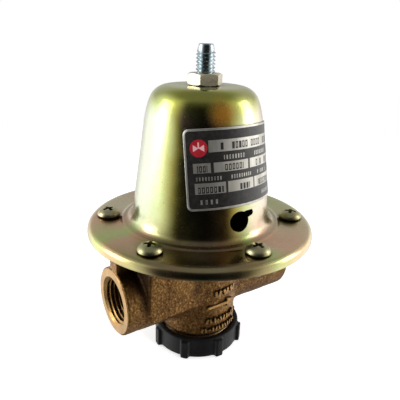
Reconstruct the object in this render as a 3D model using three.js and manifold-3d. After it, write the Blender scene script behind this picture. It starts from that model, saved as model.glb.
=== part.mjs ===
// Pressure reducing valve, direct acting, diaphragm type. Millimetres, +Z up.
// Origin: centre of the bottom cap's underside, on the valve's vertical axis. Inlet port at -X, outlet port at +X.
import * as THREE from 'three';
import Module from 'manifold-3d';

// ---------------------------------------------------------------- driving dimensions
const FLANGE_Z = 61.7;            // top plane of the bonnet flange
const FLANGE_R = 49.5;            // outside of the rolled rim
const SHEET = 1.8;                // bonnet sheet thickness
const BELL_TOP = 57.6;            // bell top above the flange plane
const BELL_SEG = 42;

const SCREW_COUNT = 6;
const SCREW_CIRCLE_R = 40.7;
const SCREW_PHASE = 28.7;         // degrees, first flange screw from +X
const SCREW_HEAD_R = 4.95;
const SCREW_HEAD_H = 3.45;
const SCREW_SHANK_R = 2.4;
const SCREW_TIP_Z = 52.2;

const PORT_Z = 31.6;              // port axis height
const INLET_FACE_X = 43.0;        // axis to the inlet face
const OUTLET_FACE_X = 43.2;       // axis to the outlet face
const INLET_HUB_R = 14.8;
const OUTLET_HUB_R = 15.15;
const PORT_ROOT_R = 10.4;         // thread root at the mouth, 1/2 inch pipe size
const PORT_CREST_R = 9.3;
const PORT_PITCH = 1.814;
const PORT_THREADS = 6;
const PORT_DEPTH = 15.2;

const ARM_HALF_W = 16.0;          // flat sided arms over the port hubs
const ARM_END_X = 34.2;
const ARM_BOTTOM_END = 25.5;
const ARM_BOTTOM_NECK = 26.8;
const WEB_HALF = 3.6;

const NECK_R = 17.5;
const NECK_THREAD_R = 16.55;
const NECK_END_Z = 5.3;
const CHAMBER_R = 13.0;           // strainer chamber
const CHAMBER_TOP = 38.7;
const PARTITION_TOP = 42.3;
const UPPER_R = 10.0;

const CAP_R = 20.05;
const CAP_H = 9.7;
const CAP_FLOOR = 2.6;
const CAP_BORE_R = 17.0;
const CAP_RIBS = 8;
const CAP_RIB_R = 21.6;
const CAP_RIB_W = 3.8;
const CAP_RIB_PHASE = -3.5;

const THREAD_LEAD = 1.411;        // 5/16-18 adjusting screw
const THREAD_MAJOR_R = 3.95;
const THREAD_MINOR_R = 3.18;
const ADJ_TOP = 135.2;
const ADJ_BOTTOM = 95.2;

const NUT_AF = 12.7;
const NUT_Z0 = FLANGE_Z + BELL_TOP + 0.12;
const NUT_H = 4.65;
const NUT_CORNER = -19.1;         // degrees from +X

const SEAT_BORE_R = 5.5;
const VENT_AZIMUTH = -92.5;       // degrees from +X
const VENT_Z = FLANGE_Z + 8.6;
const VENT_R = 4.45;

const LABEL_AZIMUTH = -86.0;      // centre of the nameplate
const LABEL_HALF_W = 24.1;
const LABEL_HALF_H = 15.4;
const LABEL_MID_Z = FLANGE_Z + 30.15;
const LABEL_T = 0.35;

const rad = (d) => d * Math.PI / 180;
const wasm = await Module();
wasm.setup();

// ---------------------------------------------------------------- closed solids as {v: [[x,y,z]], t: [[a,b,c]]}
function signedVolume(s) {
  let vol = 0;
  for (const [a, b, c] of s.t) {
    const p = s.v[a], q = s.v[b], r = s.v[c];
    vol += p[0] * (q[1] * r[2] - q[2] * r[1]) - p[1] * (q[0] * r[2] - q[2] * r[0]) + p[2] * (q[0] * r[1] - q[1] * r[0]);
  }
  return vol / 6;
}
function outward(s) {
  return signedVolume(s) < 0 ? { v: s.v, t: s.t.map(([a, b, c]) => [a, c, b]) } : s;
}
// profile [[r, z]] either closes on itself or starts and ends on the axis
function revolve(profile, seg, phaseDeg = 0) {
  const v = [], t = [], rings = [];
  for (const [r, z] of profile) {
    if (r === 0) { rings.push([v.length]); v.push([0, 0, z]); continue; }
    const ring = [];
    for (let i = 0; i < seg; i++) {
      const a = rad(phaseDeg) + i / seg * Math.PI * 2;
      ring.push(v.length);
      v.push([r * Math.cos(a), r * Math.sin(a), z]);
    }
    rings.push(ring);
  }
  const axis = profile[0][0] === 0;
  const count = axis ? rings.length - 1 : rings.length;
  for (let k = 0; k < count; k++) {
    const A = rings[k], B = rings[(k + 1) % rings.length];
    for (let i = 0; i < seg; i++) {
      const j = (i + 1) % seg;
      if (A.length === 1 && B.length === 1) continue;
      if (A.length === 1) t.push([A[0], B[j], B[i]]);
      else if (B.length === 1) t.push([A[i], A[j], B[0]]);
      else { t.push([A[i], A[j], B[j]]); t.push([A[i], B[j], B[i]]); }
    }
  }
  return outward({ v, t });
}
// outline [[x, y]] lifted from z0 to z1
function prism(outline, z0, z1) {
  const pts = outline.map(([x, y]) => new THREE.Vector2(x, y));
  if (THREE.ShapeUtils.isClockWise(pts)) pts.reverse();
  const faces = THREE.ShapeUtils.triangulateShape(pts, []);
  const n = pts.length, v = [], t = [];
  for (const p of pts) v.push([p.x, p.y, z0]);
  for (const p of pts) v.push([p.x, p.y, z1]);
  for (const [a, b, c] of faces) { t.push([a, c, b]); t.push([a + n, b + n, c + n]); }
  for (let i = 0; i < n; i++) { const j = (i + 1) % n; t.push([i, j, j + n]); t.push([i, j + n, i + n]); }
  return outward({ v, t });
}
const boxSolid = (x0, x1, y0, y1, z0, z1) => prism([[x0, y0], [x1, y0], [x1, y1], [x0, y1]], z0, z1);
function moved(s, matrix) {
  const p = new THREE.Vector3();
  const v = s.v.map(([x, y, z]) => { p.set(x, y, z).applyMatrix4(matrix); return [p.x, p.y, p.z]; });
  return outward({ v, t: s.t });
}
const shift = (s, x, y, z) => moved(s, new THREE.Matrix4().makeTranslation(x, y, z));
const turnZ = (s, deg) => moved(s, new THREE.Matrix4().makeRotationZ(rad(deg)));
// local +Z onto world +X
const alongX = (s) => moved(s, new THREE.Matrix4().makeRotationY(Math.PI / 2));
const alongMinusX = (s) => moved(s, new THREE.Matrix4().makeRotationY(-Math.PI / 2));
const standOnY = (s) => moved(s, new THREE.Matrix4().makeRotationX(Math.PI / 2)); // local +Z onto -Y, local +Y onto +Z
const rod = (r, z0, z1, seg) => revolve([[0, z0], [r, z0], [r, z1], [0, z1]], seg);
// round bar between two points
function bar(r, from, to, seg) {
  const a = new THREE.Vector3(...from), b = new THREE.Vector3(...to);
  const q = new THREE.Quaternion().setFromUnitVectors(new THREE.Vector3(0, 0, 1), b.clone().sub(a).normalize());
  return moved(rod(r, 0, a.distanceTo(b), seg), new THREE.Matrix4().compose(a, q, new THREE.Vector3(1, 1, 1)));
}
function toManifold(s) {
  const vertProperties = new Float32Array(s.v.length * 3);
  s.v.forEach((p, i) => vertProperties.set(p, i * 3));
  const triVerts = new Uint32Array(s.t.length * 3);
  s.t.forEach((f, i) => triVerts.set(f, i * 3));
  return new wasm.Manifold(new wasm.Mesh({ numProp: 3, vertProperties, triVerts }));
}
const M = (s) => (s.v ? toManifold(s) : s);
const join = (...parts) => parts.map(M).reduce((a, b) => a.add(b));
const cut = (base, ...tools) => tools.map(M).reduce((a, b) => a.subtract(b), M(base));
const common = (a, b) => M(a).intersect(M(b));

const CREASE = Math.cos(rad(32));
function geometryOf(solid) {
  let v, t;
  if (solid.v) { v = solid.v; t = solid.t; } else {
    const mesh = solid.getMesh();
    v = []; t = [];
    for (let i = 0; i < mesh.vertProperties.length; i += mesh.numProp) v.push([mesh.vertProperties[i], mesh.vertProperties[i + 1], mesh.vertProperties[i + 2]]);
    for (let i = 0; i < mesh.triVerts.length; i += 3) t.push([mesh.triVerts[i], mesh.triVerts[i + 1], mesh.triVerts[i + 2]]);
  }
  // smooth normals where neighbouring faces meet at a shallow angle, sharp elsewhere
  const fn = t.map(([a, b, c]) => {
    const p = v[a], q = v[b], r = v[c];
    const u = [q[0] - p[0], q[1] - p[1], q[2] - p[2]], w = [r[0] - p[0], r[1] - p[1], r[2] - p[2]];
    return [u[1] * w[2] - u[2] * w[1], u[2] * w[0] - u[0] * w[2], u[0] * w[1] - u[1] * w[0]];
  });
  const unit = fn.map(([x, y, z]) => { const l = Math.hypot(x, y, z) || 1; return [x / l, y / l, z / l]; });
  const around = v.map(() => []);
  t.forEach((f, i) => f.forEach((k) => around[k].push(i)));
  const pos = [], nor = [];
  t.forEach((f, i) => {
    for (const k of f) {
      let x = 0, y = 0, z = 0;
      for (const j of around[k]) {
        if (unit[i][0] * unit[j][0] + unit[i][1] * unit[j][1] + unit[i][2] * unit[j][2] > CREASE) { x += fn[j][0]; y += fn[j][1]; z += fn[j][2]; }
      }
      const l = Math.hypot(x, y, z) || 1;
      pos.push(...v[k]); nor.push(x / l, y / l, z / l);
    }
  });
  const g = new THREE.BufferGeometry();
  g.setAttribute('position', new THREE.Float32BufferAttribute(pos, 3));
  g.setAttribute('normal', new THREE.Float32BufferAttribute(nor, 3));
  return g;
}

const FINISH = {
  yellowZinc: { color: 0xb5a45c, roughness: 0.32, metalness: 0.9 },
  bronze: { color: 0x9a6a3a, roughness: 0.62, metalness: 0.6 },
  clearZinc: { color: 0xaeb6c0, roughness: 0.3, metalness: 0.95 },
  brass: { color: 0xc09a4c, roughness: 0.3, metalness: 0.9 },
  springSteel: { color: 0x6d6f73, roughness: 0.4, metalness: 0.9 },
  stainless: { color: 0xb4b7ba, roughness: 0.3, metalness: 0.9 },
  blackPlastic: { color: 0x141414, roughness: 0.55, metalness: 0.0 },
  rubber: { color: 0x1c1c1e, roughness: 0.8, metalness: 0.0 },
  plateInk: { color: 0x1a1a1c, roughness: 0.4, metalness: 0.5 },
};
const root = new THREE.Group();
root.name = 'pressure_reducing_valve';
function piece(name, solid, finish) {
  const mesh = new THREE.Mesh(geometryOf(solid), new THREE.MeshStandardMaterial(FINISH[finish]));
  mesh.name = name;
  root.add(mesh);
}
const screwAngles = Array.from({ length: SCREW_COUNT }, (_, i) => SCREW_PHASE + i * 360 / SCREW_COUNT);

// ---------------------------------------------------------------- bonnet: drawn sheet bell with a rolled flange
const bellOuter = [
  [5.2, BELL_TOP], [14.6, BELL_TOP], [17.2, 57.2], [19.4, 56.1], [21.2, 54.4], [22.4, 52.2], [23.3, 49.6],
  [24.4, 45.0], [26.5, 29.6], [28.6, 14.2], [29.3, 8.4], [29.9, 4.6], [30.8, 2.3], [32.2, 0.9], [33.3, 0.6],
  [34.3, 0.6], [35.3, 0.0], [46.4, 0.0], [48.0, -0.45], [49.1, -1.5], [FLANGE_R, -2.9], [FLANGE_R, -4.15], [49.0, -4.5],
];
const bellInner = [
  [48.0, -4.5], [FLANGE_R - SHEET, -4.2], [FLANGE_R - SHEET, -2.9], [47.0, -SHEET], [35.1, -SHEET], [34.0, -SHEET + 0.6], [32.3, -0.95],
  [30.2, 0.0], [28.7, 2.6], [27.9, 5.4], [26.8, 14.2], [22.6, 45.0], [21.3, 49.8], [19.6, 53.2], [17.0, 55.3], [14.2, BELL_TOP - SHEET], [5.2, BELL_TOP - SHEET],
];
const lift = (pts) => pts.map(([r, z]) => [r, z + FLANGE_Z]);
const ventPlug = (() => {
  // round window with a blunt beak at its upper right
  const round = prism(Array.from({ length: 20 }, (_, i) => [VENT_R * Math.cos(rad(18 * i)), VENT_R * 0.93 * Math.sin(rad(18 * i))]), 20, 36);
  const beak = prism([[0, 0], [4.4, 1.0], [6.6, 1.6], [7.1, 2.2], [7.0, 3.4], [6.3, 3.8], [3.4, 3.9], [0, 3.4]], 20, 36);
  return join(...[round, beak].map((s) => shift(turnZ(standOnY(s), VENT_AZIMUTH + 90), 0, 0, VENT_Z)));
})();
let bonnet = M(revolve(lift([...bellOuter, ...bellInner]), BELL_SEG));
bonnet = cut(bonnet, ventPlug, ...screwAngles.map((a) => shift(rod(2.8, -4, 4, 14), SCREW_CIRCLE_R * Math.cos(rad(a)), SCREW_CIRCLE_R * Math.sin(rad(a)), FLANGE_Z)));
piece('bonnet', bonnet, 'yellowZinc');

// ---------------------------------------------------------------- body casting
const bowl = revolve(lift([
  [0, -12.0], [31.0, -12.0], [34.5, -9.6], [44.4, -6.9], [46.6, -6.0], [46.6, -3.8], [33.5, -3.8], [31.4, -9.2], [0, -9.2],
]), 42);
const neck = revolve([[0, NECK_END_Z], [NECK_THREAD_R - 0.6, NECK_END_Z], [NECK_THREAD_R, NECK_END_Z + 0.6], [NECK_THREAD_R, 10.2], [NECK_R - 0.3, 10.3], [NECK_R, 10.9], [NECK_R, 47.0], [19.5, 50.6], [0, 50.6]], 36);
const hub = (radius, face) => revolve([[0, 7], [radius, 7], [radius, face - 0.7], [radius - 0.7, face], [0, face]], 36);
const hubIn = alongMinusX(hub(INLET_HUB_R, INLET_FACE_X));
const hubOut = alongX(hub(OUTLET_HUB_R, OUTLET_FACE_X));
const armSide = standOnY(prism([[4, ARM_BOTTOM_NECK + 0.6], [-7, ARM_BOTTOM_NECK], [-ARM_END_X + 2.4, ARM_BOTTOM_END], [-ARM_END_X, ARM_BOTTOM_END + 1.8], [-ARM_END_X, 50.9], [4, 50.9]], -20, 20));
const armPlan = prism([[4, -ARM_HALF_W], [-ARM_END_X + 1.1, -ARM_HALF_W], [-ARM_END_X, -ARM_HALF_W + 1.1], [-ARM_END_X, ARM_HALF_W - 1.1], [-ARM_END_X + 1.1, ARM_HALF_W], [4, ARM_HALF_W]], 15, 56);
const armOut = prism([[-2, -ARM_HALF_W], [ARM_END_X - 1.1, -ARM_HALF_W], [ARM_END_X, -ARM_HALF_W + 1.1], [ARM_END_X, ARM_HALF_W - 1.1], [ARM_END_X - 1.1, ARM_HALF_W], [-2, ARM_HALF_W]], PORT_Z, 51.1);
const webIn = boxSolid(-INLET_FACE_X + 0.3, -25, -WEB_HALF, WEB_HALF, 40, 54.3);
const webOut = boxSolid(25, OUTLET_FACE_X - 0.3, -WEB_HALF, WEB_HALF, 40, 54.3);
const stopAngles = [75, 180, 285];
const stops = stopAngles.map((a) => shift(rod(2.2, 51.5, 56.1, 12), 15 * Math.cos(rad(a)), 15 * Math.sin(rad(a)), 0));
// raised flow arrow on the neck, pointing from inlet to outlet
const arrow = (() => {
  const outline = [[-7.0, -0.6], [2.6, -0.6], [2.6, -2.2], [7.2, 0], [2.6, 2.2], [2.6, 0.6], [-7.0, 0.6]];
  let s = moved(prism(outline, 12, 22), new THREE.Matrix4().makeRotationX(Math.PI / 2));
  s = turnZ(s, 4);
  s = shift(s, 0, 0, 25.4);
  return common(s, revolve([[0, 20], [NECK_R + 0.55, 20], [NECK_R + 0.55, 30], [0, 30]], 36));
})();
function portTool() {
  const p = [[0, -1.0], [PORT_ROOT_R + 1.0, -1.0], [PORT_ROOT_R + 0.32, 0.0], [PORT_ROOT_R - 0.1, 0.5]];
  for (let k = 0; k < PORT_THREADS; k++) {
    const d = 1.35 + k * PORT_PITCH;
    p.push([PORT_CREST_R - d / 32, d], [PORT_ROOT_R - (d + PORT_PITCH / 2) / 32, d + PORT_PITCH / 2]);
  }
  const end = 1.35 + PORT_THREADS * PORT_PITCH;
  p.push([PORT_CREST_R - end / 32, end], [PORT_CREST_R - 0.45, PORT_DEPTH], [0, PORT_DEPTH]);
  return revolve(p, 28);
}
// depth runs inward from the port face
const inletTool = moved(portTool(), new THREE.Matrix4().makeRotationY(Math.PI / 2).setPosition(-INLET_FACE_X, 0, PORT_Z));
const outletTool = moved(portTool(), new THREE.Matrix4().makeRotationY(-Math.PI / 2).setPosition(OUTLET_FACE_X, 0, PORT_Z));
const atPort = (s) => shift(s, 0, 0, PORT_Z);
let casting = join(bowl, neck, atPort(hubIn), atPort(hubOut), common(armSide, armPlan), armOut, webIn, webOut);
casting = cut(casting,
  inletTool, outletTool,
  rod(CHAMBER_R, NECK_END_Z - 1, CHAMBER_TOP, 32),
  rod(9.15, CHAMBER_TOP - 1, PARTITION_TOP + 1, 28),
  rod(UPPER_R, PARTITION_TOP, 54, 28),
  atPort(alongMinusX(rod(4.8, 20, 30, 20))),
  atPort(alongMinusX(rod(7.0, 6, 25.0, 24))),
  bar(5.5, [8.2, 0, 53.5], [28.8, 0, 36.4], 20),
  ...screwAngles.map((a) => shift(rod(2.7, 50, 60, 12), SCREW_CIRCLE_R * Math.cos(rad(a)), SCREW_CIRCLE_R * Math.sin(rad(a)), 0)));
casting = join(casting, ...stops, arrow);
piece('body_casting', casting, 'bronze');

// ---------------------------------------------------------------- flange screws, pan head with a cross recess
const screwSolid = (() => {
  const z = FLANGE_Z + 0.1;
  const shape = revolve([[0, SCREW_TIP_Z], [SCREW_SHANK_R - 0.5, SCREW_TIP_Z], [SCREW_SHANK_R, SCREW_TIP_Z + 0.7], [SCREW_SHANK_R, z], [SCREW_HEAD_R - 0.35, z], [SCREW_HEAD_R, z + 0.5], [SCREW_HEAD_R, z + 1.0],
    [SCREW_HEAD_R - 0.75, z + 2.15], [SCREW_HEAD_R - 2.2, z + 3.05], [0, z + SCREW_HEAD_H]], 16);
  const arm = (s) => moved(prism([[-2.5, -0.6], [2.5, -0.6], [2.5, 0.6], [-2.5, 0.6]], z + SCREW_HEAD_H - 1.9, z + 5), new THREE.Matrix4().makeRotationZ(s));
  return cut(shape, arm(0), arm(Math.PI / 2));
})();
screwAngles.forEach((a, i) => {
  const m = new THREE.Matrix4().makeTranslation(SCREW_CIRCLE_R * Math.cos(rad(a)), SCREW_CIRCLE_R * Math.sin(rad(a)), 0).multiply(new THREE.Matrix4().makeRotationZ(rad(17 + i * 41)));
  piece(`flange_screw_${i + 1}`, screwSolid.transform(m.elements), 'yellowZinc');
});

// ---------------------------------------------------------------- diaphragm stack and valve trim
piece('diaphragm', cut(revolve(lift([
  [2.75, -2.05], [24.4, -2.05], [27.4, -4.0], [30.2, -4.0], [33.1, -2.05], [45.4, -2.05],
  [45.4, -3.65], [33.5, -3.65], [30.7, -5.5], [26.9, -5.5], [23.9, -3.65], [2.75, -3.65],
]), 30), ...screwAngles.map((a) => shift(rod(2.8, 56, 61, 12), SCREW_CIRCLE_R * Math.cos(rad(a)), SCREW_CIRCLE_R * Math.sin(rad(a)), 0))), 'rubber');
piece('diaphragm_plate', revolve(lift([[2.75, -1.9], [21.6, -1.9], [22.0, -1.5], [22.0, 1.8], [20.6, 1.8], [20.6, -0.4], [2.75, -0.4]]), 32), 'yellowZinc');
piece('backing_plate', revolve(lift([[2.75, -5.45], [20.1, -5.45], [20.5, -5.05], [20.5, -3.85], [2.75, -3.85]]), 32), 'stainless');
piece('valve_stem', revolve([[0, 26.8], [1.95, 26.8], [2.35, 27.2], [2.35, 35.5], [3.6, 35.5], [3.6, 36.3], [2.35, 36.9], [2.35, 54.0], [4.2, 54.0], [4.2, 56.05], [2.35, 56.05], [2.35, 66.3], [1.9, 66.8], [0, 66.8]], 16), 'brass');
function hexRing(af, z0, z1, bore, cornerDeg, seg = 24) {
  const ac = af / Math.sqrt(3);
  const hex = Array.from({ length: 6 }, (_, i) => [ac * Math.cos(rad(cornerDeg + 60 * i)), ac * Math.sin(rad(cornerDeg + 60 * i))]);
  const c = ac - af / 2 + 0.12;
  const lens = revolve([[0, z0], [af / 2 - 0.1, z0], [ac + 0.15, z0 + c * 0.62], [ac + 0.15, z1 - c * 0.62], [af / 2 - 0.1, z1], [0, z1]], seg);
  return cut(common(prism(hex, z0, z1), lens), rod(bore, z0 - 1, z1 + 1, 18));
}
piece('stem_nut', hexRing(8.0, 61.45, 64.6, 2.65, 10, 18), 'stainless');
piece('disc_holder', revolve([[2.65, 30.0], [7.9, 30.0], [8.6, 30.7], [8.6, 34.8], [7.7, 34.8], [7.7, 32.8], [2.65, 32.8]], 24), 'brass');
piece('seat_disc', revolve([[2.65, 32.95], [7.5, 32.95], [7.5, 35.1], [7.2, 35.35], [2.65, 35.35]], 24), 'rubber');
piece('disc_nut', hexRing(7.0, 27.2, 29.85, 2.65, 25, 18), 'stainless');
piece('seat_ring', revolve([
  [SEAT_BORE_R, 38.0], [6.3, 38.0], [6.9, 38.35], [11.0, 38.35], [11.0, 38.55], [9.0, 38.6], [9.0, 42.9], [SEAT_BORE_R + 1.0, 42.9], [SEAT_BORE_R, 42.0],
], 28), 'stainless');

// ---------------------------------------------------------------- range spring, its button and the adjusting screw
function coil({ meanR, wireR, zAt, turns, perTurn, ringSeg, phase = 0 }) {
  const steps = Math.round(turns * perTurn);
  const v = [], t = [];
  const centre = (u) => { const a = phase + u * Math.PI * 2; return new THREE.Vector3(meanR * Math.cos(a), meanR * Math.sin(a), zAt(u)); };
  for (let i = 0; i <= steps; i++) {
    const u = i / perTurn, p = centre(u), q = centre(u + 0.002), o = centre(u - 0.002);
    const tangent = q.clone().sub(o).normalize();
    const out = new THREE.Vector3(p.x, p.y, 0).normalize();
    const side = new THREE.Vector3().crossVectors(tangent, out).normalize();
    const rim = new THREE.Vector3().crossVectors(side, tangent).normalize();
    for (let k = 0; k < ringSeg; k++) {
      const a = k / ringSeg * Math.PI * 2;
      const w = p.clone().addScaledVector(rim, wireR * Math.cos(a)).addScaledVector(side, wireR * Math.sin(a));
      v.push([w.x, w.y, w.z]);
    }
  }
  for (let i = 0; i < steps; i++) for (let k = 0; k < ringSeg; k++) {
    const a = i * ringSeg + k, b = i * ringSeg + (k + 1) % ringSeg, c = a + ringSeg, d = b + ringSeg;
    t.push([a, b, d]); t.push([a, d, c]);
  }
  for (let k = 1; k < ringSeg - 1; k++) {
    t.push([0, k + 1, k]);
    const e = steps * ringSeg;
    t.push([e, e + k, e + k + 1]);
  }
  return outward({ v, t });
}
const SPRING_Z0 = 63.25, SPRING_Z1 = 89.75, SPRING_WIRE_R = 1.75, SPRING_TURNS = 5.5;
piece('range_spring', coil({
  meanR: 14.5, wireR: SPRING_WIRE_R, turns: SPRING_TURNS, perTurn: 15, ringSeg: 6, phase: 0.6,
  zAt: (u) => {
    const closed = 0.95, rise = 3.75;
    const active = SPRING_TURNS - 2 * closed, span = SPRING_Z1 - SPRING_Z0 - 2 * closed * rise;
    if (u < closed) return SPRING_Z0 + u * rise;
    if (u > SPRING_TURNS - closed) return SPRING_Z1 - (SPRING_TURNS - u) * rise;
    return SPRING_Z0 + closed * rise + (u - closed) / active * span;
  },
}), 'springSteel');
piece('spring_button', revolve([[0, 90.3], [11.8, 90.3], [12.2, 90.7], [12.2, 91.75], [17.2, 91.75], [17.2, 93.5], [16.7, 93.95], [6.5, 93.95], [6.5, 98.2], [4.3, 98.2], [4.3, 95.0], [0, 95.0]], 28), 'yellowZinc');
piece('thread_bushing', revolve([[4.35, 109.0], [7.8, 109.0], [8.2, 109.4], [8.2, 117.3], [4.35, 117.3]], 24), 'clearZinc');

function helicalBar(z0, z1, perTurn) {
  // crest and root run side by side up one helix
  const turns = Math.ceil((z1 - z0) / THREAD_LEAD) + 3;
  const steps = turns * perTurn, v = [], t = [];
  const start = z0 - 1.5 * THREAD_LEAD;
  for (let i = 0; i <= steps; i++) {
    const a = i / perTurn * Math.PI * 2, z = start + i / perTurn * THREAD_LEAD;
    v.push([THREAD_MINOR_R * Math.cos(a), THREAD_MINOR_R * Math.sin(a), z]);
    v.push([THREAD_MAJOR_R * Math.cos(a), THREAD_MAJOR_R * Math.sin(a), z + THREAD_LEAD / 2]);
  }
  for (let i = 0; i < steps; i++) {
    const r0 = 2 * i, c0 = 2 * i + 1, r1 = 2 * i + 2, c1 = 2 * i + 3;
    t.push([r0, r1, c1], [r0, c1, c0]);
    if (i + perTurn < steps) {
      const R0 = 2 * (i + perTurn), R1 = R0 + 2;
      t.push([c0, c1, R1], [c0, R1, R0]);
    }
  }
  const low = v.length; v.push([0, 0, start]);
  const high = v.length; v.push([0, 0, start + (turns + 0.5) * THREAD_LEAD]);
  for (let i = 0; i < perTurn; i++) t.push([low, 2 * i + 2, 2 * i]);
  t.push([low, 0, 1], [low, 1, 2 * perTurn]);
  const last = steps - perTurn;
  for (let i = last; i < steps; i++) t.push([high, 2 * i + 1, 2 * i + 3]);
  t.push([high, 2 * steps + 1, 2 * steps], [high, 2 * steps, 2 * last + 1]);
  return outward({ v, t });
}
const screwEnvelope = revolve([
  [0, ADJ_BOTTOM], [2.4, ADJ_BOTTOM], [3.1, ADJ_BOTTOM + 1.2], [3.1, ADJ_BOTTOM + 2.6], [THREAD_MAJOR_R + 0.05, ADJ_BOTTOM + 3.6],
  [THREAD_MAJOR_R + 0.05, ADJ_TOP - 3.4], [3.45, ADJ_TOP - 2.5], [3.1, ADJ_TOP - 0.6], [2.8, ADJ_TOP], [0, ADJ_TOP]], 20);
const screwCore = revolve([[0, ADJ_BOTTOM + 0.4], [2.2, ADJ_BOTTOM + 0.4], [3.0, ADJ_BOTTOM + 1.4], [3.0, ADJ_TOP - 3], [3.35, ADJ_TOP - 2.45], [3.02, ADJ_TOP - 0.62], [2.72, ADJ_TOP - 0.02], [0, ADJ_TOP - 0.02]], 20);
const slot = turnZ(boxSolid(-5, 5, -0.55, 0.55, ADJ_TOP - 1.3, ADJ_TOP + 1), -34.5);
piece('adjusting_screw', cut(join(common(helicalBar(ADJ_BOTTOM, ADJ_TOP - 3.2, 12), screwEnvelope), screwCore), slot), 'clearZinc');
piece('lock_nut', hexRing(NUT_AF, NUT_Z0, NUT_Z0 + NUT_H, 4.3, NUT_CORNER), 'clearZinc');

// ---------------------------------------------------------------- inlet check: spring loaded poppet
const alongFlow = (s) => atPort(alongX(s));
piece('check_poppet', alongFlow(revolve([[0, -26.6], [3.4, -26.6], [4.2, -26.0], [4.2, -24.75], [6.3, -24.75], [6.3, -23.2], [5.6, -22.8], [1.2, -22.8], [1.2, -14.4], [0.9, -14.1], [0, -14.1]], 18)), 'brass');
piece('check_spring', alongFlow(coil({ meanR: 3.0, wireR: 0.35, turns: 4, perTurn: 12, ringSeg: 5, zAt: (u) => -22.3 + u / 4 * 5.5 })), 'stainless');
piece('check_retainer', cut(alongFlow(revolve([[1.55, -16.3], [6.8, -16.3], [6.8, -15.1], [1.55, -15.1]], 20)),
  ...[45, 135, 225, 315].map((a) => alongFlow(shift(rod(1.7, -18, -13, 10), 4.25 * Math.cos(rad(a)), 4.25 * Math.sin(rad(a)), 0)))), 'stainless');

// ---------------------------------------------------------------- strainer and bottom cap
const windows = [];
for (const z of [7.0, 16.6, 26.2]) for (let i = 0; i < 6; i++) windows.push(turnZ(boxSolid(7.5, 12.5, -3.6, 3.6, z, z + 8.0), 60 * i + 30));
piece('strainer_screen', cut(revolve([[8.8, 2.8], [11.4, 2.8], [11.4, 4.3], [10.4, 4.5], [10.4, 37.1], [9.8, 37.1], [9.8, 4.5], [8.8, 4.3]], 24), ...windows), 'stainless');
const capShell = revolve([
  [0, 0.8], [13.2, 0.8], [13.6, 0.0], [CAP_R - 1.1, 0.0], [CAP_R, 1.1], [CAP_R, CAP_H - 0.6], [CAP_R - 0.6, CAP_H], [CAP_BORE_R + 0.8, CAP_H], [CAP_BORE_R, CAP_H - 0.9], [CAP_BORE_R, CAP_FLOOR], [0, CAP_FLOOR],
], 40);
const ribs = Array.from({ length: CAP_RIBS }, (_, i) => {
  const h = CAP_RIB_W / 2;
  return turnZ(prism([[18.4, -h], [CAP_RIB_R - 0.7, -h], [CAP_RIB_R, -h + 0.8], [CAP_RIB_R, h - 0.8], [CAP_RIB_R - 0.7, h], [18.4, h]], 0.15, CAP_H - 0.9), CAP_RIB_PHASE + 45 * i);
});
piece('bottom_cap', join(capShell, ...ribs), 'blackPlastic');
piece('cap_o_ring', revolve(Array.from({ length: 8 }, (_, i) => [14.9 + 1.15 * Math.cos(rad(45 * i + 22.5)), 3.95 + 1.15 * Math.sin(rad(45 * i + 22.5))]), 28), 'rubber');

// ---------------------------------------------------------------- nameplate: flat rectangle wrapped round the taper
const plate = (() => {
  const taper = 0.1364;                            // bell radius lost per millimetre of height
  const half = Math.atan(taper), sin = Math.sin(half), cos = Math.cos(half);
  const baseR = 28.6, baseZ = FLANGE_Z + 14.2;
  const apexZ = baseZ + baseR / taper;
  const midSlant = (apexZ - LABEL_MID_Z) / cos;
  const corner = 2.0, gap = 0.16;
  const at = (X, Y, lift0) => {
    const q = midSlant - Y, s = Math.hypot(X, q), th = Math.atan2(X, q);
    const az = rad(LABEL_AZIMUTH) + th / sin, r = s * sin + lift0 * cos, z = apexZ - s * cos + lift0 * sin;
    return [r * Math.cos(az), r * Math.sin(az), z];
  };
  const w = LABEL_HALF_W, h = LABEL_HALF_H, xs = [-w, -w + 0.35, -w + 1.0, -w + corner];
  const n = 12;
  for (let i = 1; i < n; i++) xs.push(-w + corner + i / n * 2 * (w - corner));
  xs.push(w - corner, w - 1.0, w - 0.35, w);
  const rows = 4, v = [], t = [];
  const lim = (X) => { const d = Math.abs(X) - (w - corner); return d <= 0 ? h : h - corner + Math.sqrt(Math.max(corner * corner - d * d, 0)); };
  const id = (side, i, j) => side * xs.length * (rows + 1) + i * (rows + 1) + j;
  for (const lift0 of [gap, gap + LABEL_T]) for (const X of xs) for (let j = 0; j <= rows; j++) v.push(at(X, (j / rows * 2 - 1) * lim(X), lift0));
  const m = xs.length - 1;
  for (let i = 0; i < m; i++) for (let j = 0; j < rows; j++) {
    const a = [i, j], b = [i + 1, j], c = [i + 1, j + 1], d = [i, j + 1];
    t.push([id(1, ...a), id(1, ...b), id(1, ...c)], [id(1, ...a), id(1, ...c), id(1, ...d)]);
    t.push([id(0, ...a), id(0, ...c), id(0, ...b)], [id(0, ...a), id(0, ...d), id(0, ...c)]);
  }
  for (let i = 0; i < m; i++) for (const j of [0, rows]) {
    const a = id(0, i, j), b = id(0, i + 1, j), c = id(1, i + 1, j), d = id(1, i, j);
    if (j === 0) t.push([a, b, c], [a, c, d]); else t.push([b, a, d], [b, d, c]);
  }
  for (let j = 0; j < rows; j++) for (const i of [0, m]) {
    const a = id(0, i, j), b = id(0, i, j + 1), c = id(1, i, j + 1), d = id(1, i, j);
    if (i === 0) t.push([b, a, d], [b, d, c]); else t.push([a, b, c], [a, c, d]);
  }
  return outward({ v, t });
})();
piece('nameplate', plate, 'plateInk');

export default root;
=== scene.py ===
import math
import bpy
import bmesh
import numpy as np
from mathutils import Matrix, Vector, noise


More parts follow.
